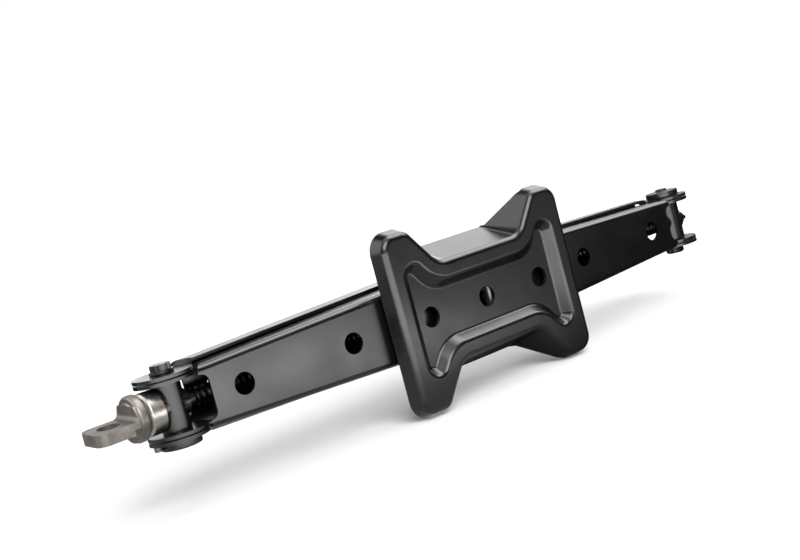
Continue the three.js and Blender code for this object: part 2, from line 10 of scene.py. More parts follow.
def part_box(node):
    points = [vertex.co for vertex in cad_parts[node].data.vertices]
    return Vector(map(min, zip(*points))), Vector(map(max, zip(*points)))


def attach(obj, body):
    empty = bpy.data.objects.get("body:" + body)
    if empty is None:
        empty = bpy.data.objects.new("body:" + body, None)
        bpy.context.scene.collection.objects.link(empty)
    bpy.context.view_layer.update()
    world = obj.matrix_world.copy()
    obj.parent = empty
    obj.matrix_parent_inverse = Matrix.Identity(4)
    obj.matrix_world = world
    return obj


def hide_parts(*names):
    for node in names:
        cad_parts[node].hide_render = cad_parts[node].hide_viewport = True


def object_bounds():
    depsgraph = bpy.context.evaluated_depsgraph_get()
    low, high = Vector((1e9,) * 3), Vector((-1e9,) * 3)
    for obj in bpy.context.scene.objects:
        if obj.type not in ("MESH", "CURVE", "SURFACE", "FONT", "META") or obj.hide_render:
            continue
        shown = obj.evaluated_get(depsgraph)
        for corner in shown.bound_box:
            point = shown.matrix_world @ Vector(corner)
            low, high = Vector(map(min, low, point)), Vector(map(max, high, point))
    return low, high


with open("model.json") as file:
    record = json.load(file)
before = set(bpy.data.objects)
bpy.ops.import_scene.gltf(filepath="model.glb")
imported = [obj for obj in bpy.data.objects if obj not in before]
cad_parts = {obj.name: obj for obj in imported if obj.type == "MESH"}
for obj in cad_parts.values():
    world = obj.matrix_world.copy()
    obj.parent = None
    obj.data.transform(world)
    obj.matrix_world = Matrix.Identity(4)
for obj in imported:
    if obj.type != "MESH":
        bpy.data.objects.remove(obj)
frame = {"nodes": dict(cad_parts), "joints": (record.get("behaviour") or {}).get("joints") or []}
cad_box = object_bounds()

# The builders work in millimetres from the middle of the jack, as the part's source does.
MM = 0.001
JOINTS = {joint["name"]: Vector(joint["pos_m"]) / MM for joint in frame["joints"]}
MIDDLE_X = (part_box("base_plate")[0].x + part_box("base_plate")[1].x) / 2 / MM
PIVOT_X = JOINTS["lower_right_lift"].x - MIDDLE_X
PIVOT_Z = JOINTS["lift"].z
TRUNNION_X = JOINTS["right_bar_level"].x - MIDDLE_X
TRUNNION_Z = JOINTS["right_bar_level"].z
TOP_PIVOT_Z = JOINTS["top_level"].z
TOP_Z = 2 * TRUNNION_Z

# Facets, cut overrun and the rounding of sheet edges.
BEND_STEPS = 8
OUTLINE_STEPS = 14
ROUND_SIDES = 56
OVERRUN = 6
GAP = 0.3
SHEET_EDGE = 0.35
SOFT_EDGE = (2 * SHEET_EDGE, 3)
FORGED_EDGE = (1.3, 4)
BEVEL_ANGLE = math.radians(34)
PLATE_BEVEL_ANGLE = math.radians(50)
THREAD_SHARP_ANGLE = math.radians(30)
SAME_POINT = 0.00001
LEAST_GAP = 0.001
JOIN_ANGLE = math.radians(0.4)
FLAT_ANGLE = math.radians(0.5)
SMOOTH_ANGLE = math.radians(40)
FLAT_SHARE = 0.7

# Base plate.
PLATE_SHEET = 3
PLATE_HALF_LENGTH = 96.4
PLATE_WAIST = 40.2
DIAGONAL_RUN = 33.4
DIAGONAL_X = PLATE_HALF_LENGTH - DIAGONAL_RUN
DIAGONAL_Y = 62.5
DIAGONAL_ANGLE = math.radians(52)
HORN_HALF = 71.5
HORN_RADIUS = 12
SHOULDER_RADIUS = 10
RECESS_TIP_RADIUS = 24.1
RECESS_REACH = 8
ARC_SHARE = 0.97
NECK_RADIUS = 17
MOST_NECK_RADIUS = 30
PANEL_INSET = 20.4
PANEL_MARGIN = 3
RECESS_DEPTH = 7.8
RECESS_RUN = 7
RECESS_FOOT_RADIUS = 3
CREST_RADIUS = 5
FOLD_RADIUS = 6
SKIRT_DRAFT = 0.33
SKIRT_DEPTH = 40
END_SKIRT_DEPTH = 13
SKIRT_STEP_RUN = 48.9
SKIRT_STEP_X = PLATE_HALF_LENGTH - SKIRT_STEP_RUN
SKIRT_END_RUN = 26.4
SKIRT_END_X = PLATE_HALF_LENGTH - SKIRT_END_RUN
SKIRT_RINGS = 4
STRAIGHT_STEPS = 14
HOLE_RADIUS = 8.5
PLATE_HOLE_INSET = 34.9
PLATE_HOLE_X = PLATE_HALF_LENGTH - PLATE_HOLE_INSET

# Arms: half widths at the gear plates, where the web ends, and at the ears.
ARM_SHEET = 2.5
BEND_RADIUS = 5
MID_GAP = 0.7
WEB_PIVOT_DROP = 7.4
WEB_SLOPE = 0.0364
END_SPREAD = 1.6
EAR_PITCH = 3.7
LOWER_ARM = {"gear_half": 31.6, "end_half": 23.6, "ear_half": 20.6}
UPPER_ARM = {
    "gear_half": LOWER_ARM["gear_half"] + ARM_SHEET,
    "end_half": LOWER_ARM["end_half"] + ARM_SHEET + END_SPREAD,
    "ear_half": LOWER_ARM["ear_half"] + EAR_PITCH,
}
GEAR_PLATE_END = 40
CHANNEL_START = 31
EAR_RADIUS = 22.5
DISH_RADIUS = 27
WINDOW_X = 257
WINDOW_HALF = 16.8
WINDOW_CORNER = 6
WEB_HOLES_X = (131.6, 230.6)
HUB_RADIUS = 11.5
GEAR_MODULE = 2
GEAR_TEETH = 17
PRESSURE_ANGLE = math.radians(20)
BACKLASH = 0.3
ROOT_SHARE = 1.15
TIP_SHARE = 0.92
SECTOR_TEETH = 5
TOOTH_PHASES = {"right": 0, "left": 0.5}

# Pins, cheeks and the top bracket.
PIN_RADIUS = 5
PIN_CLEARANCE = 0.25
PIN_HEAD_RADIUS = 8.5
PIN_HEAD_THICK = 3.2
CHEEK_SHEET = 3
CHEEK_OVERHANG = 16
CHEEK_HALF_LENGTH = PIVOT_X + CHEEK_OVERHANG
CHEEK_RISE = 12
CHEEK_CORNER = 11
SADDLE_OVERHANG = 18
SADDLE_HALF_LENGTH = PIVOT_X + SADDLE_OVERHANG
SADDLE_SHEET = 3
SADDLE_DROP = 35.5
SADDLE_BEND = 5
SADDLE_HOLE_X = 24
SADDLE_HOLE_Y = 18
SADDLE_HOLE_RADIUS = 4.5
SADDLE_EAR_RADIUS = 12

# Cross bars and what is on them.
BARREL_RADIUS = 11
NUT_BARREL_RADIUS = 12.2
BARREL_HALF = LOWER_ARM["ear_half"] - ARM_SHEET - GAP
JOURNAL_RADIUS = 7.5
JOURNAL_END = UPPER_ARM["ear_half"] + GAP
SEAT_RADIUS = 10
SEAT_REACH = 11.3
STUD_DEPTH = 6
WASHER_RADIUS = 9.2
WASHER_THICK = 2
NUT_RADIUS = 8.6
NUT_SIDES = 6
NUT_THICK = 4.5
CAP_RADIUS = 15.4
CAP_THICK = 5.4
CAP_PIN_RADIUS = 5.4
CAP_PIN_REACH = 2.5
DOWEL_RADIUS = 3
DOWEL_REACH = 3.6

# Drive screw, thrust shell, disc and tang.
SCREW_RADIUS = 7
SCREW_ROOT_RADIUS = 5.7
SCREW_TIP_REACH = 18.5
THREAD_PITCH = 5
THREAD_SIDES = 24
THREAD_CREST_SHARES = (0.14, 0.38, 0.62, 0.86)
SCREW_CHAMFER = 1
STOP_PIN_RADIUS = 2
STOP_PIN_HALF = 9
SHELL_RADIUS = 16.2
SHELL_LENGTH = 13.7
SHELL_WALL = 1.9
SHELL_BEVEL = 2.6
RACE_SPACE = 9.9
DISC_RADIUS = 17.5
DISC_THICK = 7.9
DISC_EDGE = 2.2
DISC_STEPS = 4
BOSS_RADIUS = 13.2
BOSS_RISE = 1.2
TANG_THICK = 9
TANG_HEIGHT = 32
TANG_LENGTH = 32.5
TANG_CORNER = 8
TANG_FLARE = 4
TANG_OFFSET = 3.5
TANG_TURN = math.radians(3.8)
EYE_RADIUS = 8.5
EYE_INSET = 16
SHELL_END_X = -TRUNNION_X - SEAT_REACH - GAP
SHELL_FACE_X = SHELL_END_X - SHELL_LENGTH
DISC_FACE_X = SHELL_FACE_X - GAP
DISC_BACK_X = DISC_FACE_X - DISC_THICK
TANG_END_X = DISC_BACK_X - TANG_LENGTH

# The photograph's camera, in millimetres from the middle of the jack, and its focal length in pixels.
CAMERA_AT = Vector((-691.8, -135.2, -800.8))
CAMERA_RIGHT = Vector((0.7566, 0.2562, -0.6016))
CAMERA_DOWN = Vector((-0.2622, 0.9617, 0.0799))
FOCAL_PIXELS = 1301.87
IMAGE_WIDTH = 800
SENSOR_WIDTH = 36
CLIP_NEAR = 0.01
CLIP_FAR = 20


def linked(name, data):
    """An object in the scene with its mesh, light or camera."""
    item = bpy.data.objects.new(name, data)
    bpy.context.scene.collection.objects.link(item)
    return item


def make_camera():
    data = bpy.data.cameras.new("camera")
    data.sensor_width = SENSOR_WIDTH
    data.sensor_fit = "HORIZONTAL"
    data.lens = FOCAL_PIXELS / IMAGE_WIDTH * data.sensor_width
    data.clip_start = CLIP_NEAR
    data.clip_end = CLIP_FAR
    camera = linked("camera", data)
    right = CAMERA_RIGHT.normalized()
    back = right.cross(-CAMERA_DOWN).normalized()
    up = back.cross(right)
    camera.matrix_world = Matrix.Translation((CAMERA_AT + Vector((MIDDLE_X, 0, 0))) * MM) @ Matrix(
        (right, up, back)
    ).transposed().to_4x4()
    bpy.context.scene.camera = camera


make_camera()


# Geometry helpers


def rounded(corners, steps=BEND_STEPS):
    """A polygon whose corners, given as a, b, radius, become arcs of equal step counts."""
    points = []
    for i, (a, b, radius) in enumerate(corners):
        here = Vector((a, b))
        if not radius:
            points.append((a, b))
            continue
        back = (Vector(corners[i - 1][:2]) - here).normalized()
        on = (Vector(corners[(i + 1) % len(corners)][:2]) - here).normalized()
        half = math.acos(max(-1, min(1, back.dot(on)))) / 2
        turn = math.copysign(math.pi - 2 * half, on.cross(back))
        middle = here + (back + on).normalized() * (radius / math.sin(half))
        arm = here + back * (radius / math.tan(half)) - middle
        for step in range(steps + 1):
            points.append(tuple(middle + Matrix.Rotation(turn * step / steps, 2) @ arm))
    return points


def circle(radius, a=0, b=0, sides=ROUND_SIDES):
    angles = [2 * math.pi * i / sides for i in range(sides)]
    return [(a + radius * math.cos(angle), b + radius * math.sin(angle)) for angle in angles]


def solid(name, points, faces):
    """A closed mesh with its faces outward."""
    mesh = bpy.data.meshes.new(name)
    mesh.from_pydata([tuple(p) for p in points], [], faces)
    shape = bmesh.new()
    shape.from_mesh(mesh)
    bmesh.ops.remove_doubles(shape, verts=shape.verts, dist=SAME_POINT)
    bmesh.ops.recalc_face_normals(shape, faces=shape.faces)
    shape.to_mesh(mesh)
    shape.free()
    return linked(name, mesh)


def prism(outline, low, high, axis):
    """An outline run between two places along an axis: X, Z points along Y, X, Y along Z, Y, Z along X."""
    place = {
        "x": lambda a, b, c: (c, a, b),
        "y": lambda a, b, c: (a, c, b),
        "z": lambda a, b, c: (a, b, c),
    }[axis]
    count = len(outline)
    points = [place(a, b, c) for c in (low, high) for a, b in outline]
    faces = [list(range(count)), list(range(count, 2 * count))]
    faces += [(i, (i + 1) % count, (i + 1) % count + count, i + count) for i in range(count)]
    return solid("prism", points, faces)


def rod(radius, low, high, axis, a, b):
    return prism(circle(radius, a, b), low, high, axis)


def turned(profile, axis, centre, sides=ROUND_SIDES):
    """Radius, place pairs turned about X or Y; they start and end on the axis or close on themselves."""
    along, across, aside = {"x": (0, 1, 2), "y": (1, 2, 0)}[axis]
    points = []
    rings = []
    for radius, place in profile:
        steps = sides if radius else 1
        ring = []
        for i in range(steps):
            angle = 2 * math.pi * i / sides
            point = Vector(centre)
            point[along] += place
            point[across] += radius * math.cos(angle)
            point[aside] += radius * math.sin(angle)
            ring.append(len(points))
            points.append(point)
        rings.append(ring * (sides // steps))
    faces = []
    for k in range(len(rings) - 1 + (profile[0][0] > 0)):
        low, high = rings[k], rings[(k + 1) % len(rings)]
        for i in range(sides):
            j = (i + 1) % sides
            faces.append(list(dict.fromkeys((low[i], low[j], high[j], high[i]))))
    return solid("turned", points, faces)


def loft(rings):
    """A closed skin through rings of points, capped at both ends."""
    count = len(rings[0])
    points = [p for ring in rings for p in ring]
    faces = [list(range(count)), list(range(len(points) - count, len(points)))]
    for k in range(len(rings) - 1):
        for i in range(count):
            j = (i + 1) % count
            faces.append((k * count + i, k * count + j, (k + 1) * count + j, (k + 1) * count + i))
    return solid("loft", points, faces)


def settle(body):
    """Makes the object's modifiers part of its mesh."""
    graph = bpy.context.evaluated_depsgraph_get()
    mesh = bpy.data.meshes.new_from_object(body.evaluated_get(graph))
    body.modifiers.clear()
    body.data = mesh
    return body


def changed(body, tools, operation):
    for tool in tools:
        modifier = body.modifiers.new(operation, "BOOLEAN")
        modifier.operation = operation
        modifier.solver = "MANIFOLD"
        modifier.object = tool
    settle(body)
    for tool in tools:
        bpy.data.objects.remove(tool)
    return body


def cut(body, *tools):
    return changed(body, tools, "DIFFERENCE")


def join(body, *tools):
    return changed(body, tools, "UNION")


def common(body, tool):
    return changed(body, [tool], "INTERSECT")


def tidied(body, least, turn):
    """Merges points that lie together and joins faces that lie in one flat."""
    shape = bmesh.new()
    shape.from_mesh(body.data)
    bmesh.ops.remove_doubles(shape, verts=shape.verts, dist=least)
    bmesh.ops.dissolve_limit(
        shape, angle_limit=turn, verts=shape.verts, edges=shape.edges, use_dissolve_boundaries=False
    )
    shape.to_mesh(body.data)
    shape.free()


def edged(body, width, segments=2, limit=BEVEL_ANGLE):
    """Joins flat facets and rounds the sharp edges."""
    tidied(body, LEAST_GAP, JOIN_ANGLE)
    bevel = body.modifiers.new("bevel", "BEVEL")
    bevel.width = width
    bevel.segments = segments
    bevel.limit_method = "ANGLE"
    bevel.angle_limit = limit
    settle(body)
    tidied(body, 0, JOIN_ANGLE / 4)
    body.data.shade_smooth()
    return body


def flat_areas(shape):
    """For each face, the area of the whole flat that it belongs to."""
    areas = [0] * len(shape.faces)
    for face in shape.faces:
        if areas[face.index]:
            continue
        areas[face.index] = -1
        flat = [face]
        for here in flat:
            near = (other for edge in here.edges for other in edge.link_faces)
            for other in near:
                if not areas[other.index] and here.normal.angle(other.normal, math.pi) < FLAT_ANGLE:
                    areas[other.index] = -1
                    flat.append(other)
        total = sum(here.calc_area() for here in flat)
        for here in flat:
            areas[here.index] = total
    return areas


def smooth_fan(loop):
    """The faces round a corner that shade as one surface with the corner's own face."""
    own = loop.face.normal
    fan = {loop.face}
    ends = [loop.face]
    while ends:
        here = ends.pop()
        beside = [edge for edge in loop.vert.link_edges if here in edge.link_faces]
        for other in (face for edge in beside for face in edge.link_faces):
            if other not in fan and own.angle(other.normal, math.pi) < SMOOTH_ANGLE:
                fan.add(other)
                ends.append(other)
    return fan


def corner_normal(loop, areas):
    """The normal of the flat that outweighs the rest of the fan, or else the fan's mean by area."""
    fan = smooth_fan(loop)
    widest = max(fan, key=lambda face: areas[face.index])
    if areas[widest.index] > FLAT_SHARE * sum(areas[face.index] for face in fan):
        return widest.normal.copy()
    return sum((face.normal * areas[face.index] for face in fan), Vector()).normalized()


def keep_flats(body):
    """Corner normals that keep each flat flat and let the small faces between them turn."""
    shape = bmesh.new()
    shape.from_mesh(body.data)
    areas = flat_areas(shape)
    normals = [corner_normal(loop, areas) for face in shape.faces for loop in face.loops]
    shape.free()
    body.data.normals_split_custom_set(normals)


def placed(body, name, body_name, slot, material, *nodes, mirror_x=False, mirror_z=False):
    """Puts a finished shape in the row frame, gives it its material and rides it on its body."""
    flip = Matrix.Diagonal((-1 if mirror_x else 1, 1, -1 if mirror_z else 1, 1))
    lift = Matrix.Translation((0, 0, TOP_Z if mirror_z else 0))
    body.data.transform(Matrix.Scale(MM, 4) @ Matrix.Translation((MIDDLE_X, 0, 0)) @ lift @ flip)
    if mirror_x != mirror_z:
        body.data.flip_normals()
    keep_flats(body)
    body.name = name
    body.data.name = name
    body.data.materials.clear()
    body.data.materials.append(material)
    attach(body, body_name)
    if nodes:
        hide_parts(*nodes)
    return body


# Materials

# Where noise runs from one colour or roughness to the other, and noises as scale, detail and roughness.
NOISE_RANGE = (0.35, 0.65)
SHEET_RIPPLE = (28, 3, 0.5)
ORANGE_PEEL = (900, 2, 0.5)
TOOL_MARKS = (700, 4, 0.6)
STAIN = (90, 4, 0.6)

# Bumps as strength and height in metres.
RIPPLE_BUMP = (0.2, 0.0005)
PEEL_BUMP = (0.12, 0.00004)
MARK_BUMP = (0.35, 0.00012)

# The coat's two blacks, its thin colour on edges, its refraction and its roughness.
COAT = ((0.0035, 0.0035, 0.004), (0.006, 0.0059, 0.0064))
THIN_COAT = (0.03, 0.029, 0.028)
COAT_IOR = 1.52
COAT_ROUGHNESS = (0.2, 0.27)

# Edge wear: its reach in metres, its samples, the turn at which it is full and the shine of worn steel.
WEAR_REACH = 0.0006
WEAR_SAMPLES = 4
WEAR_TURN = 0.9
WORN_SHINE = 1.3


def shader_of(name):
    material = bpy.data.materials.new(name)
    material.use_nodes = True
    nodes = material.node_tree.nodes
    return material, nodes, material.node_tree.links, nodes["Principled BSDF"]


def object_noise(nodes, links, scale, detail, roughness, stretch=(1, 1, 1)):
    """Noise in the piece's own space, in metres, stretched along its axes."""
    place = nodes.new("ShaderNodeTexCoord")
    mapping = nodes.new("ShaderNodeMapping")
    mapping.inputs["Scale"].default_value = stretch
    noise = nodes.new("ShaderNodeTexNoise")
    noise.inputs["Scale"].default_value = scale
    noise.inputs["Detail"].default_value = detail
    noise.inputs["Roughness"].default_value = roughness
    links.new(place.outputs["Object"], mapping.inputs["Vector"])
    links.new(mapping.outputs["Vector"], noise.inputs["Vector"])
    return noise


def spread(nodes, links, source, low, high, socket):
    """Runs a texture's value over a range into a socket."""
    remap = nodes.new("ShaderNodeMapRange")
    remap.inputs["From Min"].default_value = NOISE_RANGE[0]
    remap.inputs["From Max"].default_value = NOISE_RANGE[1]
    remap.inputs["To Min"].default_value = low
    remap.inputs["To Max"].default_value = high
    links.new(source, remap.inputs["Value"])
    links.new(remap.outputs["Result"], socket)


def tinted(nodes, links, source, dark, light, socket):
    ramp = nodes.new("ShaderNodeValToRGB")
    ramp.color_ramp.elements[0].position = NOISE_RANGE[0]
    ramp.color_ramp.elements[1].position = NOISE_RANGE[1]
    ramp.color_ramp.elements[0].color = (*dark, 1)
    ramp.color_ramp.elements[1].color = (*light, 1)
    links.new(source, ramp.inputs["Fac"])
    links.new(ramp.outputs["Color"], socket)


def bumped(nodes, links, source, shader, strength, distance, under=None):
    bump = nodes.new("ShaderNodeBump")
    bump.inputs["Strength"].default_value = strength
    bump.inputs["Distance"].default_value = distance
    links.new(source, bump.inputs["Height"])
    if under:
        links.new(under.outputs["Normal"], bump.inputs["Normal"])
    links.new(bump.outputs["Normal"], shader.inputs["Normal"])
    return bump


def worn_edges(nodes, links, source, colours, worn, socket):
    """Runs the colours to a worn one where the surface turns sharply and the noise lets it through."""
    plain = nodes.new("ShaderNodeNewGeometry")
    soft = nodes.new("ShaderNodeBevel")
    soft.samples = WEAR_SAMPLES
    soft.inputs["Radius"].default_value = WEAR_REACH
    turn = nodes.new("ShaderNodeVectorMath")
    turn.operation = "DOT_PRODUCT"
    links.new(plain.outputs["Normal"], turn.inputs[0])
    links.new(soft.outputs["Normal"], turn.inputs[1])
    wear = nodes.new("ShaderNodeMapRange")
    wear.inputs["From Min"].default_value = 1
    wear.inputs["From Max"].default_value = WEAR_TURN
    links.new(turn.outputs["Value"], wear.inputs["Value"])
    patchy = nodes.new("ShaderNodeMath")
    patchy.operation = "MULTIPLY"
    links.new(wear.outputs["Result"], patchy.inputs[0])
    links.new(source, patchy.inputs[1])
    mix = nodes.new("ShaderNodeMix")
    mix.data_type = "RGBA"
    mix.inputs["B"].default_value = (*worn, 1)
    links.new(patchy.outputs[0], mix.inputs["Factor"])
    tinted(nodes, links, source, *colours, mix.inputs["A"])
    links.new(mix.outputs["Result"], socket)


def black_paint():
    """Glossy black coat with a faint orange peel over slightly uneven sheet, thinner on its edges."""
    material, nodes, links, shader = shader_of("black_paint")
    shader.inputs["Metallic"].default_value = 0
    shader.inputs["IOR"].default_value = COAT_IOR
    broad = object_noise(nodes, links, *SHEET_RIPPLE)
    fine = object_noise(nodes, links, *ORANGE_PEEL)
    worn_edges(nodes, links, broad.outputs["Fac"], COAT, THIN_COAT, shader.inputs["Base Color"])
    spread(nodes, links, broad.outputs["Fac"], *COAT_ROUGHNESS, shader.inputs["Roughness"])
    ripple = bumped(nodes, links, broad.outputs["Fac"], shader, *RIPPLE_BUMP)
    bumped(nodes, links, fine.outputs["Fac"], shader, *PEEL_BUMP, ripple)
    return material


def bare_steel(name, dark, light, stretch, rough):
    """Bare steel with tool marks along one direction and a faint brown cast."""
    material, nodes, links, shader = shader_of(name)
    shader.inputs["Metallic"].default_value = 1
    marks = object_noise(nodes, links, *TOOL_MARKS, stretch)
    stain = object_noise(nodes, links, *STAIN)
    worn = tuple(min(1, value * WORN_SHINE) for value in light)
    worn_edges(nodes, links, stain.outputs["Fac"], (dark, light), worn, shader.inputs["Base Color"])
    spread(nodes, links, marks.outputs["Fac"], *rough, shader.inputs["Roughness"])
    bumped(nodes, links, marks.outputs["Fac"], shader, *MARK_BUMP)
    return material


PAINT = black_paint()
FORGED = bare_steel("forged_steel", (0.17, 0.155, 0.142), (0.27, 0.25, 0.232), (1, 1, 1), (0.4, 0.58))
MACHINED = bare_steel("turned_steel", (0.4, 0.375, 0.345), (0.5, 0.47, 0.435), (6, 0.5, 0.5), (0.26, 0.42))
# Near-black steel for the screw, darker than the other bare steel.
DARK_SCREW_STEEL = bare_steel("dark_screw_steel", (0.03, 0.028, 0.026), (0.055, 0.052, 0.048), (6, 0.5, 0.5), (0.24, 0.4))
ZINC = bare_steel("zinc_plate", (0.3, 0.3, 0.31), (0.4, 0.4, 0.41), (1, 1, 1), (0.36, 0.5))


# Base plate


def horn_end(end_x, line_y, slope, offset):
    """Corners of a horn with a flat side: the outer corner, then the shoulder on the diagonal."""
    horn_y = HORN_HALF + offset
    shoulder_x = DIAGONAL_X + (horn_y - line_y) / slope
    return [(end_x, horn_y, HORN_RADIUS + offset), (shoulder_x, horn_y, SHOULDER_RADIUS + offset)]


def recess_end(end_x, line_y, slope, offset):
    """One round tip of the recess, drawn as two corners so that it has as many points as a horn."""
    radius = RECESS_TIP_RADIUS + offset
    half = (math.pi / 2 - DIAGONAL_ANGLE) / 2
    back = radius / math.tan(half) - radius * math.tan((math.pi / 2 - half) / 2)
    tip_y = line_y + slope * (end_x - DIAGONAL_X)
    low_x = end_x - back * math.cos(DIAGONAL_ANGLE)
    low_y = tip_y - back * math.sin(DIAGONAL_ANGLE)
    return [(end_x, tip_y - back, radius * ARC_SHARE), (low_x, low_y, radius * ARC_SHARE)]


def bow_tie(offset):
    """The plate's outline moved outward by an offset, with equal points at every offset."""
    slope = math.tan(DIAGONAL_ANGLE)
    end_x = PLATE_HALF_LENGTH + offset
    waist = PLATE_WAIST + offset
    line_y = DIAGONAL_Y + offset / math.cos(DIAGONAL_ANGLE)
    neck = (DIAGONAL_X + (waist - line_y) / slope, waist, min(NECK_RADIUS - offset, MOST_NECK_RADIUS))
    end = recess_end if offset < -RECESS_REACH else horn_end
    quarter = [*end(end_x, line_y, slope, offset), neck]
    corners = []
    for sx, sy in ((1, 1), (-1, 1), (-1, -1), (1, -1)):
        order = quarter if sx == sy else reversed(quarter)
        corners += [(x * sx, y * sy, radius) for x, y, radius in order]
    arcs = rounded(corners, OUTLINE_STEPS)
    points = []
    for i, here in enumerate(arcs):
        points.append(here)
        if (i + 1) % (OUTLINE_STEPS + 1) == 0:
            after = arcs[(i + 1) % len(arcs)]
            run = (after[0] - here[0], after[1] - here[1])
            for step in range(1, STRAIGHT_STEPS):
                share = step / STRAIGHT_STEPS
                points.append((here[0] + run[0] * share, here[1] + run[1] * share))
    return points


def tray_section(lift):
    """Section from the panel over the rim ring to the fold, as outline offset and height."""
    wall = math.atan2(RECESS_DEPTH, RECESS_RUN)
    skirt = math.pi / 2 - math.atan(SKIRT_DRAFT)
    foot = -PANEL_INSET + lift * math.tan(wall / 2)
    fold = -lift * math.tan(skirt / 2)
    path = [
        (-PANEL_INSET - PANEL_MARGIN, RECESS_DEPTH + lift, 0),
        (foot, RECESS_DEPTH + lift, RECESS_FOOT_RADIUS + lift),
        (foot + RECESS_RUN, lift, CREST_RADIUS - lift),
        (fold, lift, FOLD_RADIUS - lift),
        (fold + SKIRT_DRAFT * SKIRT_DEPTH, lift + SKIRT_DEPTH, 0),
    ]
    return rounded(path)[:-1]


def skirt_height(x):
    """How far the skirt is turned back at a place along the plate, full at the waist and low at the tips."""
    share = max(0, min(1, (SKIRT_END_X - abs(x)) / (SKIRT_END_X - SKIRT_STEP_X)))
    return END_SKIRT_DEPTH + (SKIRT_DEPTH - END_SKIRT_DEPTH) * share


def tray_rings(lift):
    """Rings of points from the panel to the skirt's edge, raised by the sheet for its inner side."""
    rings = [[Vector((x, y, z)) for x, y in bow_tie(offset)] for offset, z in tray_section(lift)]
    start, z0 = tray_section(lift)[-1]
    fold = -lift * math.tan((math.pi / 2 - math.atan(SKIRT_DRAFT)) / 2)
    tops = [skirt_height(x) for x, _ in bow_tie(0)]
    for ring in range(1, SKIRT_RINGS + 1):
        share = ring / SKIRT_RINGS
        points = []
        for i, top in enumerate(tops):
            z = z0 + (top - z0) * share
            points.append((fold + SKIRT_DRAFT * (z - lift), z, i))
        offsets = {round(offset, 3): bow_tie(offset) for offset, _, _ in points}
        rings.append([Vector((*offsets[round(offset, 3)][i], z)) for offset, z, i in points])
    return rings


def base_plate():
    """One sheet: panel, rim ring and skirt as a grid, with three round holes through the panel."""
    points = []
    faces = []
    edges = []
    hole_places = [(x, 0) for x in (-PLATE_HOLE_X, 0, PLATE_HOLE_X)]
    for lift in (0, PLATE_SHEET):
        rings = tray_rings(lift)
        count = len(rings[0])
        base = len(points)
        for ring in rings:
            points.extend(ring)
        for k in range(len(rings) - 1):
            for i in range(count):
                j = (i + 1) % count
                faces.append([base + k * count + n for n in (i, j, count + j, count + i)])
        z = RECESS_DEPTH + lift
        loops = [[points[base + i] for i in range(count)]]
        holes = []
        for x, y in hole_places:
            start = len(points)
            ring = [Vector((a, b, z)) for a, b in circle(HOLE_RADIUS, x, y)]
            points.extend(ring)
            loops.append(ring)
            holes.append(start)
        index = list(range(base, base + count))
        index += [start + i for start in holes for i in range(ROUND_SIDES)]
        faces += [[index[n] for n in triangle] for triangle in tessellate_polygon(loops)]
        edges.append((base + (len(rings) - 1) * count, holes, count))
    (low_rim, low_holes, count), (high_rim, high_holes, _) = edges
    for i in range(count):
        j = (i + 1) % count
        faces.append((low_rim + i, low_rim + j, high_rim + j, high_rim + i))
    for low, high in zip(low_holes, high_holes):
        for i in range(ROUND_SIDES):
            j = (i + 1) % ROUND_SIDES
            faces.append((low + i, low + j, high + j, high + i))
    body = solid("base_plate_sheet", points, faces)
    return edged(body, *SOFT_EDGE, PLATE_BEVEL_ANGLE)


# Arms


def web_z(x):
    return PIVOT_Z - WEB_PIVOT_DROP + WEB_SLOPE * (x - PIVOT_X)


def arm_half(x, arm):
    share = max(0, min(1, (x - GEAR_PLATE_END) / (WINDOW_X - GEAR_PLATE_END)))
    return arm["gear_half"] + (arm["end_half"] - arm["gear_half"]) * share


def channel_body(arm, inset):
    """Filled channel section lofted along the arm, drawn in by an inset on all sides."""
    radius = BEND_RADIUS - inset
    top = TRUNNION_Z + EAR_RADIUS + inset
    rings = []
    for x in (CHANNEL_START - inset, GEAR_PLATE_END, WINDOW_X, TRUNNION_X + inset):
        half = arm_half(x, arm) - inset
        low = web_z(x) + inset
        section = rounded([(-half, low, radius), (half, low, radius), (half, top, 0), (-half, top, 0)])
        rings.append([(x, y, z) for y, z in section])
    return loft(rings)


def tooth_half(radius):
    """Half angle of an involute tooth at a radius."""
    base = PIVOT_X * math.cos(PRESSURE_ANGLE)
    angle = math.acos(min(base / radius, 1))
    pitch_half = (math.pi * GEAR_MODULE - BACKLASH) / (4 * PIVOT_X)
    return pitch_half + math.tan(PRESSURE_ANGLE) - PRESSURE_ANGLE - (math.tan(angle) - angle)


def sector_edge(phase):
    """Toothed edge about the pivot, from a little under the mesh line up to the top of the sector."""
    root = PIVOT_X - ROOT_SHARE * GEAR_MODULE
    tip = PIVOT_X + TIP_SHARE * GEAR_MODULE
    radii = [root, PIVOT_X * math.cos(PRESSURE_ANGLE), PIVOT_X, (PIVOT_X + tip) / 2, tip]
    points = []
    for tooth in range(SECTOR_TEETH):
        middle = (tooth + phase) * 2 * math.pi / GEAR_TEETH
        sides = [(r, middle - tooth_half(r)) for r in radii]
        sides += [(r, middle + tooth_half(r)) for r in reversed(radii)]
        points += [(PIVOT_X - r * math.cos(angle), PIVOT_Z + r * math.sin(angle)) for r, angle in sides]
    return points


def gear_plate(arm, phase, side):
    """Flat plate with the hub and the toothed sector, running into the flange behind it."""
    ceiling = TRUNNION_Z - MID_GAP / 2
    lap = GEAR_PLATE_END + GEAR_MODULE
    hub = circle(HUB_RADIUS, PIVOT_X, PIVOT_Z, 4 * BEND_STEPS)[2 * BEND_STEPS + 1 : 3 * BEND_STEPS + 1]
    outline = sector_edge(phase)
    outline += [(CHANNEL_START, ceiling), (lap, ceiling), (lap, web_z(lap) + BEND_RADIUS)]
    outline += [((PIVOT_X + lap) / 2, PIVOT_Z - HUB_RADIUS)]
    outline += reversed(hub)
    ends = sorted((side * (arm["gear_half"] - ARM_SHEET), side * arm["gear_half"]))
    return prism(outline, *ends, "y")


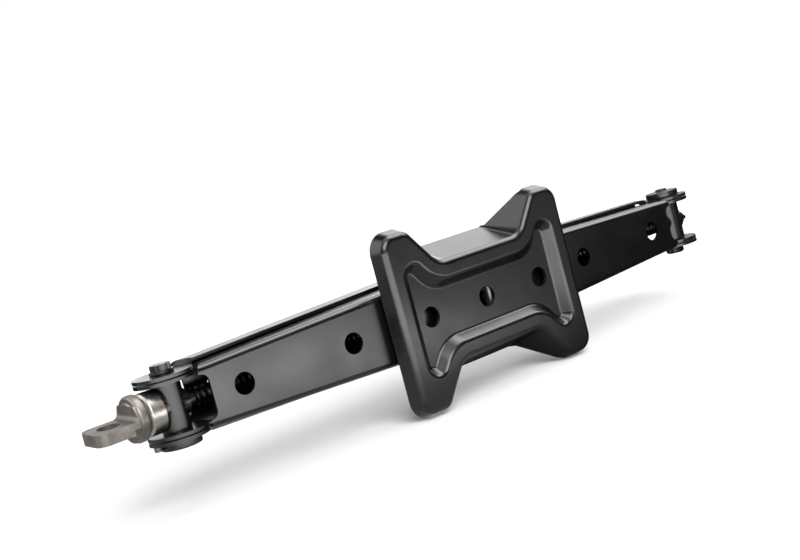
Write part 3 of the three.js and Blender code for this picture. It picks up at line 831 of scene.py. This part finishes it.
def ear_plate(arm, side):
    """Flat ear about the trunnion, dished out to the flange behind it."""
    inner = arm["ear_half"] - ARM_SHEET
    outer = arm["ear_half"]
    rise = arm["end_half"] - arm["ear_half"]
    lap = DISH_RADIUS + 2 * GAP
    profile = [(0, inner), (EAR_RADIUS, inner), (DISH_RADIUS, inner + rise), (lap, inner + rise)]
    profile += [(lap, outer + rise), (DISH_RADIUS, outer + rise), (EAR_RADIUS, outer), (0, outer)]
    centre = (TRUNNION_X, 0, TRUNNION_Z)
    dish = turned([(radius, side * place) for radius, place in profile], "y", centre, 2 * ROUND_SIDES)
    ceiling = TRUNNION_Z - MID_GAP / 2
    start = TRUNNION_X - lap
    low = [(x, web_z(x) + BEND_RADIUS) for x in (start, TRUNNION_X)]
    reach = 2 * arm["gear_half"]
    wedge = prism([*low, (TRUNNION_X, ceiling), (start, ceiling)], -reach, reach, "y")
    disc = prism(circle(EAR_RADIUS, TRUNNION_X, TRUNNION_Z, 2 * ROUND_SIDES), -reach, reach, "y")
    return common(dish, join(disc, wedge))


def arm_shape(arm, phase):
    """One arm in the place of the lower arm on the +X side."""
    reach = 2 * arm["gear_half"]
    far = TRUNNION_X + 2 * EAR_RADIUS
    ceiling = TRUNNION_Z - MID_GAP / 2
    above = prism([(0, ceiling), (far, ceiling), (far, far), (0, far)], -reach, reach, "y")
    trunnion_clear = prism(circle(DISH_RADIUS, TRUNNION_X, TRUNNION_Z, 2 * ROUND_SIDES), -reach, reach, "y")
    opening = rounded(
        [
            (WINDOW_X, -WINDOW_HALF, WINDOW_CORNER),
            (far, -WINDOW_HALF, 0),
            (far, WINDOW_HALF, 0),
            (WINDOW_X, WINDOW_HALF, WINDOW_CORNER),
        ]
    )
    window = prism(opening, 0, TRUNNION_Z, "z")
    tail_x = TRUNNION_X - 2 * BEND_RADIUS
    tail = prism([(tail_x, 0), (far, 0), (far, far), (tail_x, far)], -reach, reach, "y")
    holes = [rod(HOLE_RADIUS, 0, TRUNNION_Z, "z", x, 0) for x in WEB_HOLES_X]
    hollow = channel_body(arm, ARM_SHEET)
    channel = cut(channel_body(arm, 0), hollow, above, trunnion_clear, window, tail, *holes)
    plates = []
    for side in (-1, 1):
        plates += [gear_plate(arm, phase, side), ear_plate(arm, side)]
    pivot = rod(PIN_RADIUS + PIN_CLEARANCE, -reach, reach, "y", PIVOT_X, PIVOT_Z)
    journal = rod(JOURNAL_RADIUS + PIN_CLEARANCE, -reach, reach, "y", TRUNNION_X, TRUNNION_Z)
    return edged(cut(join(channel, *plates), pivot, journal), SHEET_EDGE)


# Pins, cheeks and bracket


def headed_pin(x, z, seat):
    high = seat + PIN_HEAD_THICK
    profile = [(0, high), (PIN_HEAD_RADIUS, high), (PIN_HEAD_RADIUS, seat), (PIN_RADIUS, seat)]
    profile += [(PIN_RADIUS, -seat), (PIN_HEAD_RADIUS, -seat), (PIN_HEAD_RADIUS, -high), (0, -high)]
    return edged(turned(profile, "y", (x, 0, z)), *SOFT_EDGE)


def cheek():
    low = LOWER_ARM["gear_half"] + PIN_CLEARANCE
    foot = PLATE_SHEET + GAP
    top = PIVOT_Z + CHEEK_RISE
    outline = rounded(
        [
            (-CHEEK_HALF_LENGTH, foot, 0),
            (CHEEK_HALF_LENGTH, foot, 0),
            (CHEEK_HALF_LENGTH, top, CHEEK_CORNER),
            (-CHEEK_HALF_LENGTH, top, CHEEK_CORNER),
        ]
    )
    plate = prism(outline, low, low + CHEEK_SHEET, "y")
    holes = [rod(PIN_RADIUS + PIN_CLEARANCE, 0, 2 * low, "y", x, PIVOT_Z) for x in (-PIVOT_X, PIVOT_X)]
    return edged(cut(plate, *holes), SHEET_EDGE)


def top_bracket():
    """Saddle of bent sheet with a flat bolted top and round-bottomed pivot walls."""
    inner = UPPER_ARM["gear_half"] + PIN_CLEARANCE
    outer = inner + SADDLE_SHEET
    bottom = TOP_Z - SADDLE_DROP

    def arch(half, crown, radius, reach):
        low = bottom - OVERRUN
        outline = rounded([(-half, low, 0), (half, low, 0), (half, crown, radius), (-half, crown, radius)])
        return prism(outline, -reach, reach, "x")

    hollow = arch(inner, TOP_Z - SADDLE_SHEET, SADDLE_BEND - SADDLE_SHEET, 2 * SADDLE_HALF_LENGTH)
    side = rounded(
        [
            (-SADDLE_HALF_LENGTH, bottom, SADDLE_EAR_RADIUS),
            (SADDLE_HALF_LENGTH, bottom, SADDLE_EAR_RADIUS),
            (SADDLE_HALF_LENGTH, TOP_Z, 0),
            (-SADDLE_HALF_LENGTH, TOP_Z, 0),
        ]
    )
    full = arch(outer, TOP_Z, SADDLE_BEND, SADDLE_HALF_LENGTH)
    body = common(full, prism(side, -2 * outer, 2 * outer, "y"))
    tools = [hollow]
    for x in (-1, 1):
        tools.append(rod(PIN_RADIUS + PIN_CLEARANCE, -TOP_Z, TOP_Z, "y", x * PIVOT_X, TOP_PIVOT_Z))
        for y in (-1, 1):
            place = (x * SADDLE_HOLE_X, y * SADDLE_HOLE_Y)
            tools.append(rod(SADDLE_HOLE_RADIUS, bottom, 2 * TOP_Z, "z", *place))
    return edged(cut(body, *tools), SHEET_EDGE)


# Cross bars, drawn about X = 0 with the headed stud at +Y


def cross_bar(radius):
    far = -JOURNAL_END - WASHER_THICK - GAP - NUT_THICK
    centre = (0, 0, TRUNNION_Z)
    barrel = [(0, far), (JOURNAL_RADIUS, far), (JOURNAL_RADIUS, -BARREL_HALF), (radius, -BARREL_HALF)]
    barrel += [(radius, BARREL_HALF), (0, BARREL_HALF)]
    body = turned(barrel, "y", centre)
    seat = rod(SEAT_RADIUS, -SEAT_REACH, SEAT_REACH, "x", 0, TRUNNION_Z)
    socket_radius = JOURNAL_RADIUS + PIN_CLEARANCE
    socket = rod(socket_radius, BARREL_HALF - STUD_DEPTH, 2 * BARREL_HALF, "y", 0, TRUNNION_Z)
    bore = rod(SCREW_RADIUS + PIN_CLEARANCE, -2 * BARREL_HALF, 2 * BARREL_HALF, "x", 0, TRUNNION_Z)
    return edged(cut(join(body, seat), socket, bore), *SOFT_EDGE)


def headed_stud(end_reach):
    foot = BARREL_HALF - STUD_DEPTH + GAP
    face = JOURNAL_END + CAP_THICK
    profile = [(0, foot), (JOURNAL_RADIUS, foot), (JOURNAL_RADIUS, JOURNAL_END), (CAP_RADIUS, JOURNAL_END)]
    profile += [(CAP_RADIUS, face)]
    if end_reach:
        profile += [(CAP_PIN_RADIUS, face), (CAP_PIN_RADIUS, face + end_reach), (0, face + end_reach)]
    else:
        profile += [(0, face)]
    return edged(turned(profile, "y", (0, 0, TRUNNION_Z)), *SOFT_EDGE)


def washer():
    inner = JOURNAL_RADIUS + PIN_CLEARANCE
    profile = [(inner, -JOURNAL_END), (WASHER_RADIUS, -JOURNAL_END)]
    profile += [(WASHER_RADIUS, -JOURNAL_END - WASHER_THICK), (inner, -JOURNAL_END - WASHER_THICK)]
    return edged(turned(profile, "y", (0, 0, TRUNNION_Z)), SHEET_EDGE)


def hex_nut():
    """Six-sided nut with its corners turned off on the outer face."""
    low = -JOURNAL_END - WASHER_THICK - GAP - NUT_THICK
    hexagon = circle(NUT_RADIUS, 0, TRUNNION_Z, NUT_SIDES)
    body = prism(hexagon, low, low + NUT_THICK, "y")
    flat = NUT_RADIUS * math.cos(math.pi / NUT_SIDES)
    rim = NUT_RADIUS + OVERRUN
    cone = [(0, low), (flat, low), (rim, low + rim - flat), (rim, OVERRUN), (0, OVERRUN)]
    body = common(body, turned(cone, "y", (0, 0, TRUNNION_Z)))
    hole = rod(JOURNAL_RADIUS + PIN_CLEARANCE, low - OVERRUN, 0, "y", 0, TRUNNION_Z)
    return edged(cut(body, hole), SHEET_EDGE)


def dowel():
    profile = [(0, JOURNAL_END), (DOWEL_RADIUS, JOURNAL_END)]
    profile += [(DOWEL_RADIUS, JOURNAL_END + DOWEL_REACH), (0, JOURNAL_END + DOWEL_REACH)]
    offset = CAP_RADIUS + GAP + DOWEL_RADIUS
    return edged(turned(profile, "y", (-offset, 0, TRUNNION_Z)), SHEET_EDGE)


def shifted(body, x, turn=0):
    body.data.transform(Matrix.Translation((x, 0, 0)) @ Matrix.Rotation(turn, 4, "Z"))
    return body


# Drive


def thrust_shell():
    bore = SCREW_RADIUS + PIN_CLEARANCE
    cavity = SHELL_END_X - RACE_SPACE
    profile = [(bore, SHELL_FACE_X), (SHELL_RADIUS - SHELL_BEVEL, SHELL_FACE_X)]
    profile += [(SHELL_RADIUS, SHELL_FACE_X + SHELL_BEVEL), (SHELL_RADIUS, SHELL_END_X)]
    profile += [(SHELL_RADIUS - SHELL_WALL, SHELL_END_X), (SHELL_RADIUS - SHELL_WALL, cavity), (bore, cavity)]
    return edged(turned(profile, "x", (0, 0, TRUNNION_Z), 2 * ROUND_SIDES), *SOFT_EDGE)


def drive_head():
    """Forged disc with a low boss, flaring into the flat tang with its eye."""
    centre = (0, 0, TRUNNION_Z)
    disc = [(0, DISC_BACK_X - BOSS_RISE), (BOSS_RADIUS - BOSS_RISE, DISC_BACK_X - BOSS_RISE)]
    disc += [(BOSS_RADIUS, DISC_BACK_X), (DISC_RADIUS - DISC_EDGE, DISC_BACK_X)]
    arc = rounded(
        [
            (0, DISC_BACK_X, 0),
            (DISC_RADIUS, DISC_BACK_X, DISC_EDGE),
            (DISC_RADIUS, DISC_FACE_X, DISC_EDGE),
            (0, DISC_FACE_X, 0),
        ],
        DISC_STEPS,
    )
    disc += arc[2:]
    body = turned(disc, "x", centre, 2 * ROUND_SIDES)
    half = TANG_HEIGHT / 2
    root = DISC_BACK_X + DISC_THICK / 2
    end = [(TANG_END_X, half, TANG_CORNER), (TANG_END_X, -half, TANG_CORNER)]
    flat = prism(rounded([(root, -half, 0), (root, half, 0), *end]), -TANG_HEIGHT, TANG_HEIGHT, "y")
    thin = TANG_THICK / 2
    wide = thin + TANG_FLARE
    throat = DISC_BACK_X - BOSS_RISE
    flare = prism(
        rounded(
            [
                (TANG_END_X - OVERRUN, -thin, 0),
                (throat, -thin, TANG_FLARE),
                (throat, -wide - OVERRUN, 0),
                (root, -wide - OVERRUN, 0),
                (root, wide + OVERRUN, 0),
                (throat, wide + OVERRUN, 0),
                (throat, thin, TANG_FLARE),
                (TANG_END_X - OVERRUN, thin, 0),
            ]
        ),
        -TANG_HEIGHT,
        TANG_HEIGHT,
        "z",
    )
    tang = common(flat, flare)
    reach = rod(DISC_RADIUS - DISC_EDGE / 2, throat - TANG_FLARE, root, "x", 0, 0)
    square = [(-half, -half), (half, -half), (half, half), (-half, half)]
    outer = prism(square, TANG_END_X - OVERRUN, throat - TANG_FLARE, "x")
    tang.data.transform(Matrix.Translation((0, TANG_OFFSET, 0)))
    outer.data.transform(Matrix.Translation((0, TANG_OFFSET, 0)))
    tang = common(tang, join(outer, reach))
    eye = rod(EYE_RADIUS, -TANG_HEIGHT, TANG_HEIGHT, "y", TANG_END_X + EYE_INSET, 0)
    tang = cut(tang, eye)
    tang.data.transform(Matrix.Translation((0, 0, TRUNNION_Z)) @ Matrix.Rotation(TANG_TURN, 4, "X"))
    return edged(join(body, tang), *FORGED_EDGE)


def shank():
    """Smooth length of the screw, from the disc through the bearing and the left cross bar."""
    low = DISC_FACE_X - DISC_EDGE
    high = -TRUNNION_X + SEAT_REACH + OVERRUN
    neck = SCREW_ROOT_RADIUS - SCREW_CHAMFER
    profile = [(0, low), (SCREW_RADIUS, low), (SCREW_RADIUS, high), (neck, high), (0, high)]
    return edged(turned(profile, "x", (0, 0, TRUNNION_Z)), SHEET_EDGE)


def threaded_rod():
    """Trapezoidal thread as one helical strip, its root closed between turns and its ends left open."""
    low = -TRUNNION_X + SEAT_REACH + OVERRUN / 2
    high = TRUNNION_X + SCREW_TIP_REACH - THREAD_PITCH
    radii = (SCREW_ROOT_RADIUS, SCREW_RADIUS, SCREW_RADIUS, SCREW_ROOT_RADIUS)
    rows = int((high - low) / THREAD_PITCH) * THREAD_SIDES
    points = []
    for row in range(rows + 1):
        angle = 2 * math.pi * row / THREAD_SIDES
        for radius, share in zip(radii, THREAD_CREST_SHARES):
            x = low + THREAD_PITCH * (row / THREAD_SIDES + share)
            points.append((x, radius * math.cos(angle), TRUNNION_Z + radius * math.sin(angle)))
    faces = []
    for row in range(rows):
        here, on = 4 * row, 4 * (row + 1)
        faces += [(here + k, here + k + 1, on + k + 1, on + k) for k in range(3)]
        if row + THREAD_SIDES < rows:
            ahead = 4 * (row + THREAD_SIDES)
            faces.append((here + 3, ahead, ahead + 4, on + 3))
    mesh = bpy.data.meshes.new("thread")
    mesh.from_pydata(points, [], faces)
    shape = bmesh.new()
    shape.from_mesh(mesh)
    bmesh.ops.recalc_face_normals(shape, faces=shape.faces)
    shape.to_mesh(mesh)
    shape.free()
    body = linked("thread", mesh)
    body.data.shade_smooth()
    body.data.set_sharp_from_angle(angle=THREAD_SHARP_ANGLE)
    return body


def screw_tip():
    """Turned point at the free end."""
    low = TRUNNION_X + NUT_BARREL_RADIUS + GAP - THREAD_PITCH
    tip = TRUNNION_X + SCREW_TIP_REACH
    core = SCREW_ROOT_RADIUS + GAP
    profile = [(0, low), (core, low), (core, tip - SCREW_CHAMFER), (core - SCREW_CHAMFER, tip), (0, tip)]
    return edged(turned(profile, "x", (0, 0, TRUNNION_Z)), SHEET_EDGE)


def stop_pin():
    x = TRUNNION_X + NUT_BARREL_RADIUS + GAP + STOP_PIN_RADIUS
    ends = (TRUNNION_Z - STOP_PIN_HALF, TRUNNION_Z + STOP_PIN_HALF)
    return edged(rod(STOP_PIN_RADIUS, *ends, "z", x, 0), SHEET_EDGE)


# Assembly


def dress_pins(body, z, seat):
    for side, x in (("left", -PIVOT_X), ("right", PIVOT_X)):
        pin = f"{side}_{body}"
        placed(headed_pin(x, z, seat), f"{pin}_pivot", body, "zinc_steel", ZINC, f"{pin}_pin")


def dress_base():
    placed(base_plate(), "base_plate_sheet", "base", "black_paint", PAINT, "base_plate")
    placed(cheek(), "rear_cheek", "base", "black_paint", PAINT, "rear_base_cheek")
    front = cheek()
    front.data.transform(Matrix.Diagonal((1, -1, 1, 1)))
    front.data.flip_normals()
    placed(front, "front_cheek", "base", "black_paint", PAINT, "front_base_cheek")
    dress_pins("base", PIVOT_Z, LOWER_ARM["gear_half"] + PIN_CLEARANCE + CHEEK_SHEET + GAP)


def dress_arms():
    for level, arm, mirror_z in (("lower", LOWER_ARM, False), ("upper", UPPER_ARM, True)):
        for side, phase in TOOTH_PHASES.items():
            body = f"{level}_{side}"
            shape = arm_shape(arm, phase)
            mirrors = {"mirror_x": side == "left", "mirror_z": mirror_z}
            placed(shape, f"{body}_channel", body, "black_paint", PAINT, f"{body}_arm", **mirrors)


def dress_top():
    placed(top_bracket(), "top_saddle", "top", "black_paint", PAINT, "top_bracket")
    dress_pins("top", TOP_PIVOT_Z, UPPER_ARM["gear_half"] + PIN_CLEARANCE + SADDLE_SHEET + GAP)


def dress_cross_bars():
    for side, x, turn in (("left", -TRUNNION_X, 0), ("right", TRUNNION_X, math.pi)):
        body = f"{side}_bar"
        node = f"{side}_trunnion"
        stud = headed_stud(CAP_PIN_REACH if turn else 0)
        bar = cross_bar(NUT_BARREL_RADIUS if turn else BARREL_RADIUS)
        placed(shifted(bar, x, turn), f"{side}_cross_bar", body, "black_paint", PAINT, node)
        placed(shifted(stud, x, turn), f"{side}_stud", body, "black_paint", PAINT, f"{node}_stud")
        placed(shifted(washer(), x, turn), f"{side}_washer", body, "zinc_steel", PAINT, f"{node}_washer")
        placed(shifted(hex_nut(), x, turn), f"{side}_nut", body, "zinc_steel", PAINT, f"{node}_nut")
    placed(shifted(dowel(), -TRUNNION_X), "dowel_end", "upper_left", "bare_steel", FORGED, "locating_dowel")


def dress_drive():
    placed(thrust_shell(), "bearing_shell", "left_bar", "bare_steel", MACHINED, "thrust_shell")
    placed(drive_head(), "drive_head", "screw", "bare_steel", FORGED, "drive_screw")
    placed(shank(), "screw_shank", "screw", "bare_steel", DARK_SCREW_STEEL)
    placed(threaded_rod(), "screw_thread", "screw", "bare_steel", DARK_SCREW_STEEL)
    placed(screw_tip(), "screw_point", "screw", "bare_steel", DARK_SCREW_STEEL)
    placed(stop_pin(), "screw_stop_pin", "screw", "bare_steel", DARK_SCREW_STEEL, "stop_pin")


def paint_inner_nodes():
    """The sealed races, balls and shims keep their solids."""
    for name, node in frame["nodes"].items():
        if not node.hide_render:
            node.data.materials.clear()
            node.data.materials.append(ZINC if name.endswith("_shim") else MACHINED)


dress_base()
dress_arms()
dress_top()
dress_cross_bars()
dress_drive()
paint_inner_nodes()


# Stage: the photograph's floor lies on the jack's +Y side, so it is a wall to the standing jack


def plane(name, corners, material):
    mesh = bpy.data.meshes.new(name)
    mesh.from_pydata(corners, [], [(0, 1, 2, 3)])
    sheet = linked(name, mesh)
    sheet.data.materials.append(material)
    return sheet


def worked(nodes, links, operation, first, second):
    """A sum, product or other figure of two sockets or numbers."""
    node = nodes.new("ShaderNodeMath")
    node.operation = operation
    for socket, value in zip(node.inputs, (first, second)):
        if isinstance(value, (int, float)):
            socket.default_value = value
        else:
            links.new(value, socket)
    return node.outputs[0]


def eased(nodes, links, source, start, end, low, high):
    """Runs smoothly from a low to a high value as the source goes from its start to its end."""
    ease = nodes.new("ShaderNodeMapRange")
    ease.interpolation_type = "SMOOTHSTEP"
    ease.inputs["From Min"].default_value = start
    ease.inputs["From Max"].default_value = end
    ease.inputs["To Min"].default_value = low
    ease.inputs["To Max"].default_value = high
    links.new(source, ease.inputs["Value"])
    return ease.outputs["Result"]


def table_glow(nodes, links, place):
    """What reflections see on the floor, a painted glow: a painted lit patch before the jack, painted dark
    close to the jack as its shadow, then grey, then dark to the right.
    """
    split = nodes.new("ShaderNodeSeparateXYZ")
    links.new(place, split.inputs[0])
    x, z = split.outputs["X"], split.outputs["Z"]
    across = eased(nodes, links, x, *PATCH_EDGE_X, PATCH_GLOW, 0)
    # Painted shadow of the jack: the painted lit patch fades to nothing close to the jack.
    ahead = eased(nodes, links, z, *PAINTED_SHADOW_EDGE_Z, 0, 1)
    patch = worked(nodes, links, "MULTIPLY", across, ahead)
    slant = worked(nodes, links, "ADD", x, worked(nodes, links, "MULTIPLY", z, DARK_SLANT))
    grey = eased(nodes, links, slant, *DARK_EDGE, GREY_GLOW, DARK_GLOW)
    return worked(nodes, links, "ADD", patch, grey)


def white_floor(name, lit):
    """White on its front and unseen from behind, with a painted glow in reflections."""
    material = bpy.data.materials.new(name)
    material.use_nodes = True
    nodes = material.node_tree.nodes
    links = material.node_tree.links
    nodes.clear()
    path = nodes.new("ShaderNodeLightPath")
    place = nodes.new("ShaderNodeNewGeometry")
    diffuse = nodes.new("ShaderNodeBsdfDiffuse")
    white = eased(nodes, links, path.outputs["Is Glossy Ray"], 0, 1, FLOOR_WHITE, 0)
    links.new(white, diffuse.inputs["Color"])
    glow = table_glow(nodes, links, place.outputs["Position"])
    mirrored = worked(nodes, links, "MULTIPLY", path.outputs["Is Glossy Ray"], glow)
    seen = worked(nodes, links, "MULTIPLY", path.outputs["Is Camera Ray"], lit)
    emission = nodes.new("ShaderNodeEmission")
    links.new(worked(nodes, links, "ADD", mirrored, seen), emission.inputs["Strength"])
    both = nodes.new("ShaderNodeAddShader")
    links.new(diffuse.outputs[0], both.inputs[0])
    links.new(emission.outputs[0], both.inputs[1])
    clear = nodes.new("ShaderNodeBsdfTransparent")
    mix = nodes.new("ShaderNodeMixShader")
    links.new(place.outputs["Backfacing"], mix.inputs[0])
    links.new(both.outputs[0], mix.inputs[1])
    links.new(clear.outputs[0], mix.inputs[2])
    out = nodes.new("ShaderNodeOutputMaterial")
    links.new(mix.outputs[0], out.inputs["Surface"])
    return material


FLOOR_REACH = 6
FLOOR_GAP = 0.0005
FLOOR_GLOW = 0.1
GROUND_GLOW = 0.62
FLOOR_WHITE = 0.95
WORLD_FILL = 0.13

# The floor's painted glow in reflections, in metres: edges as start and end of each change. Close to the jack
# the lit patch is painted dark as the jack's shadow.
PATCH_GLOW = 5.4
PATCH_EDGE_X = (0.22, 0.33)
PAINTED_SHADOW_EDGE_Z = (-0.14, -0.36)
GREY_GLOW = 0.6
DARK_GLOW = 0.02
DARK_SLANT = 1.3
DARK_EDGE = (0, 0.14)

# What polished surfaces see: a dim room with bright cards, as direction, inner and outer cosine, radiance.
ROOM_GLOW = 0.04
CARDS = [
    ((0.6, -0.78, -0.12), 0.97, 0.87, 6.5),
    ((0.6, -0.1, 0.79), 0.9, 0.6, 0.35),
    ((-0.7, -0.6, 0.4), 0.95, 0.7, 2.5),
    ((0.3, 0.3, 0.9), 0.95, 0.75, 1.6),
]

# Suns as direction, width in degrees and strength; the fill as direction, distance, size in metres and watts.
KEY = ((-0.25, -0.56, -0.79), 44, 3.3)
OVERHEAD = ((0.1, -0.95, -0.2), 50, 0.9)
BACK_FILL = ((0.7, -0.6, 0.7), 1.8, (1.2, 1.2), 10)


def make_stage():
    low, high = cad_box
    y = high[1] + FLOOR_GAP
    reach = FLOOR_REACH
    wall = [(-reach, y, -reach), (reach, y, -reach), (reach, y, reach), (-reach, y, reach)]
    plane("photo_floor", wall, white_floor("photo_floor", FLOOR_GLOW))
    z = low[2] - FLOOR_GAP
    ground = [(-reach, -reach, z), (reach, -reach, z), (reach, y, z), (-reach, y, z)]
    under = plane("ground", ground, white_floor("ground", GROUND_GLOW))
    for ray in ("diffuse", "glossy", "transmission", "volume_scatter", "shadow"):
        setattr(under, f"visible_{ray}", False)


def make_world():
    """White to the camera, an even fill to the rough, and a room with bright cards to the polished."""
    world = bpy.data.worlds.new("studio")
    bpy.context.scene.world = world
    world.use_nodes = True
    nodes = world.node_tree.nodes
    links = world.node_tree.links
    place = nodes.new("ShaderNodeTexCoord")
    glow = ROOM_GLOW
    for toward, inner, outer, radiance in CARDS:
        facing = nodes.new("ShaderNodeVectorMath")
        facing.operation = "DOT_PRODUCT"
        facing.inputs[1].default_value = Vector(toward).normalized()
        links.new(place.outputs["Generated"], facing.inputs[0])
        card = eased(nodes, links, facing.outputs["Value"], outer, inner, 0, radiance)
        glow = worked(nodes, links, "ADD", glow, card)
    path = nodes.new("ShaderNodeLightPath")
    polished = nodes.new("ShaderNodeMapRange")
    polished.inputs["To Min"].default_value = WORLD_FILL
    links.new(path.outputs["Is Glossy Ray"], polished.inputs["Value"])
    links.new(glow, polished.inputs["To Max"])
    strength = nodes.new("ShaderNodeMapRange")
    strength.inputs["To Max"].default_value = 1
    links.new(path.outputs["Is Camera Ray"], strength.inputs["Value"])
    links.new(polished.outputs["Result"], strength.inputs["To Min"])
    background = nodes["Background"]
    background.inputs["Color"].default_value = (1, 1, 1, 1)
    links.new(strength.outputs["Result"], background.inputs["Strength"])


def softbox(name, toward, distance, size, power):
    """Square light at a distance in a direction from the jack, facing it and unseen by the camera."""
    data = bpy.data.lights.new(name, "AREA")
    data.shape = "RECTANGLE"
    data.size, data.size_y = size
    data.energy = power
    light = linked(name, data)
    direction = Vector(toward).normalized()
    light.location = Vector((MIDDLE_X * MM, 0, TRUNNION_Z * MM)) + direction * distance
    light.rotation_euler = direction.to_track_quat("Z", "Y").to_euler()
    light.visible_camera = False


def sun(name, toward, angle, strength):
    data = bpy.data.lights.new(name, "SUN")
    data.angle = math.radians(angle)
    data.energy = strength
    light = linked(name, data)
    light.rotation_euler = Vector(toward).to_track_quat("Z", "Y").to_euler()


make_stage()
make_world()
sun("key", *KEY)
sun("overhead", *OVERHEAD)
softbox("back_fill", *BACK_FILL)

scene = bpy.context.scene
scene.view_settings.view_transform = "Standard"
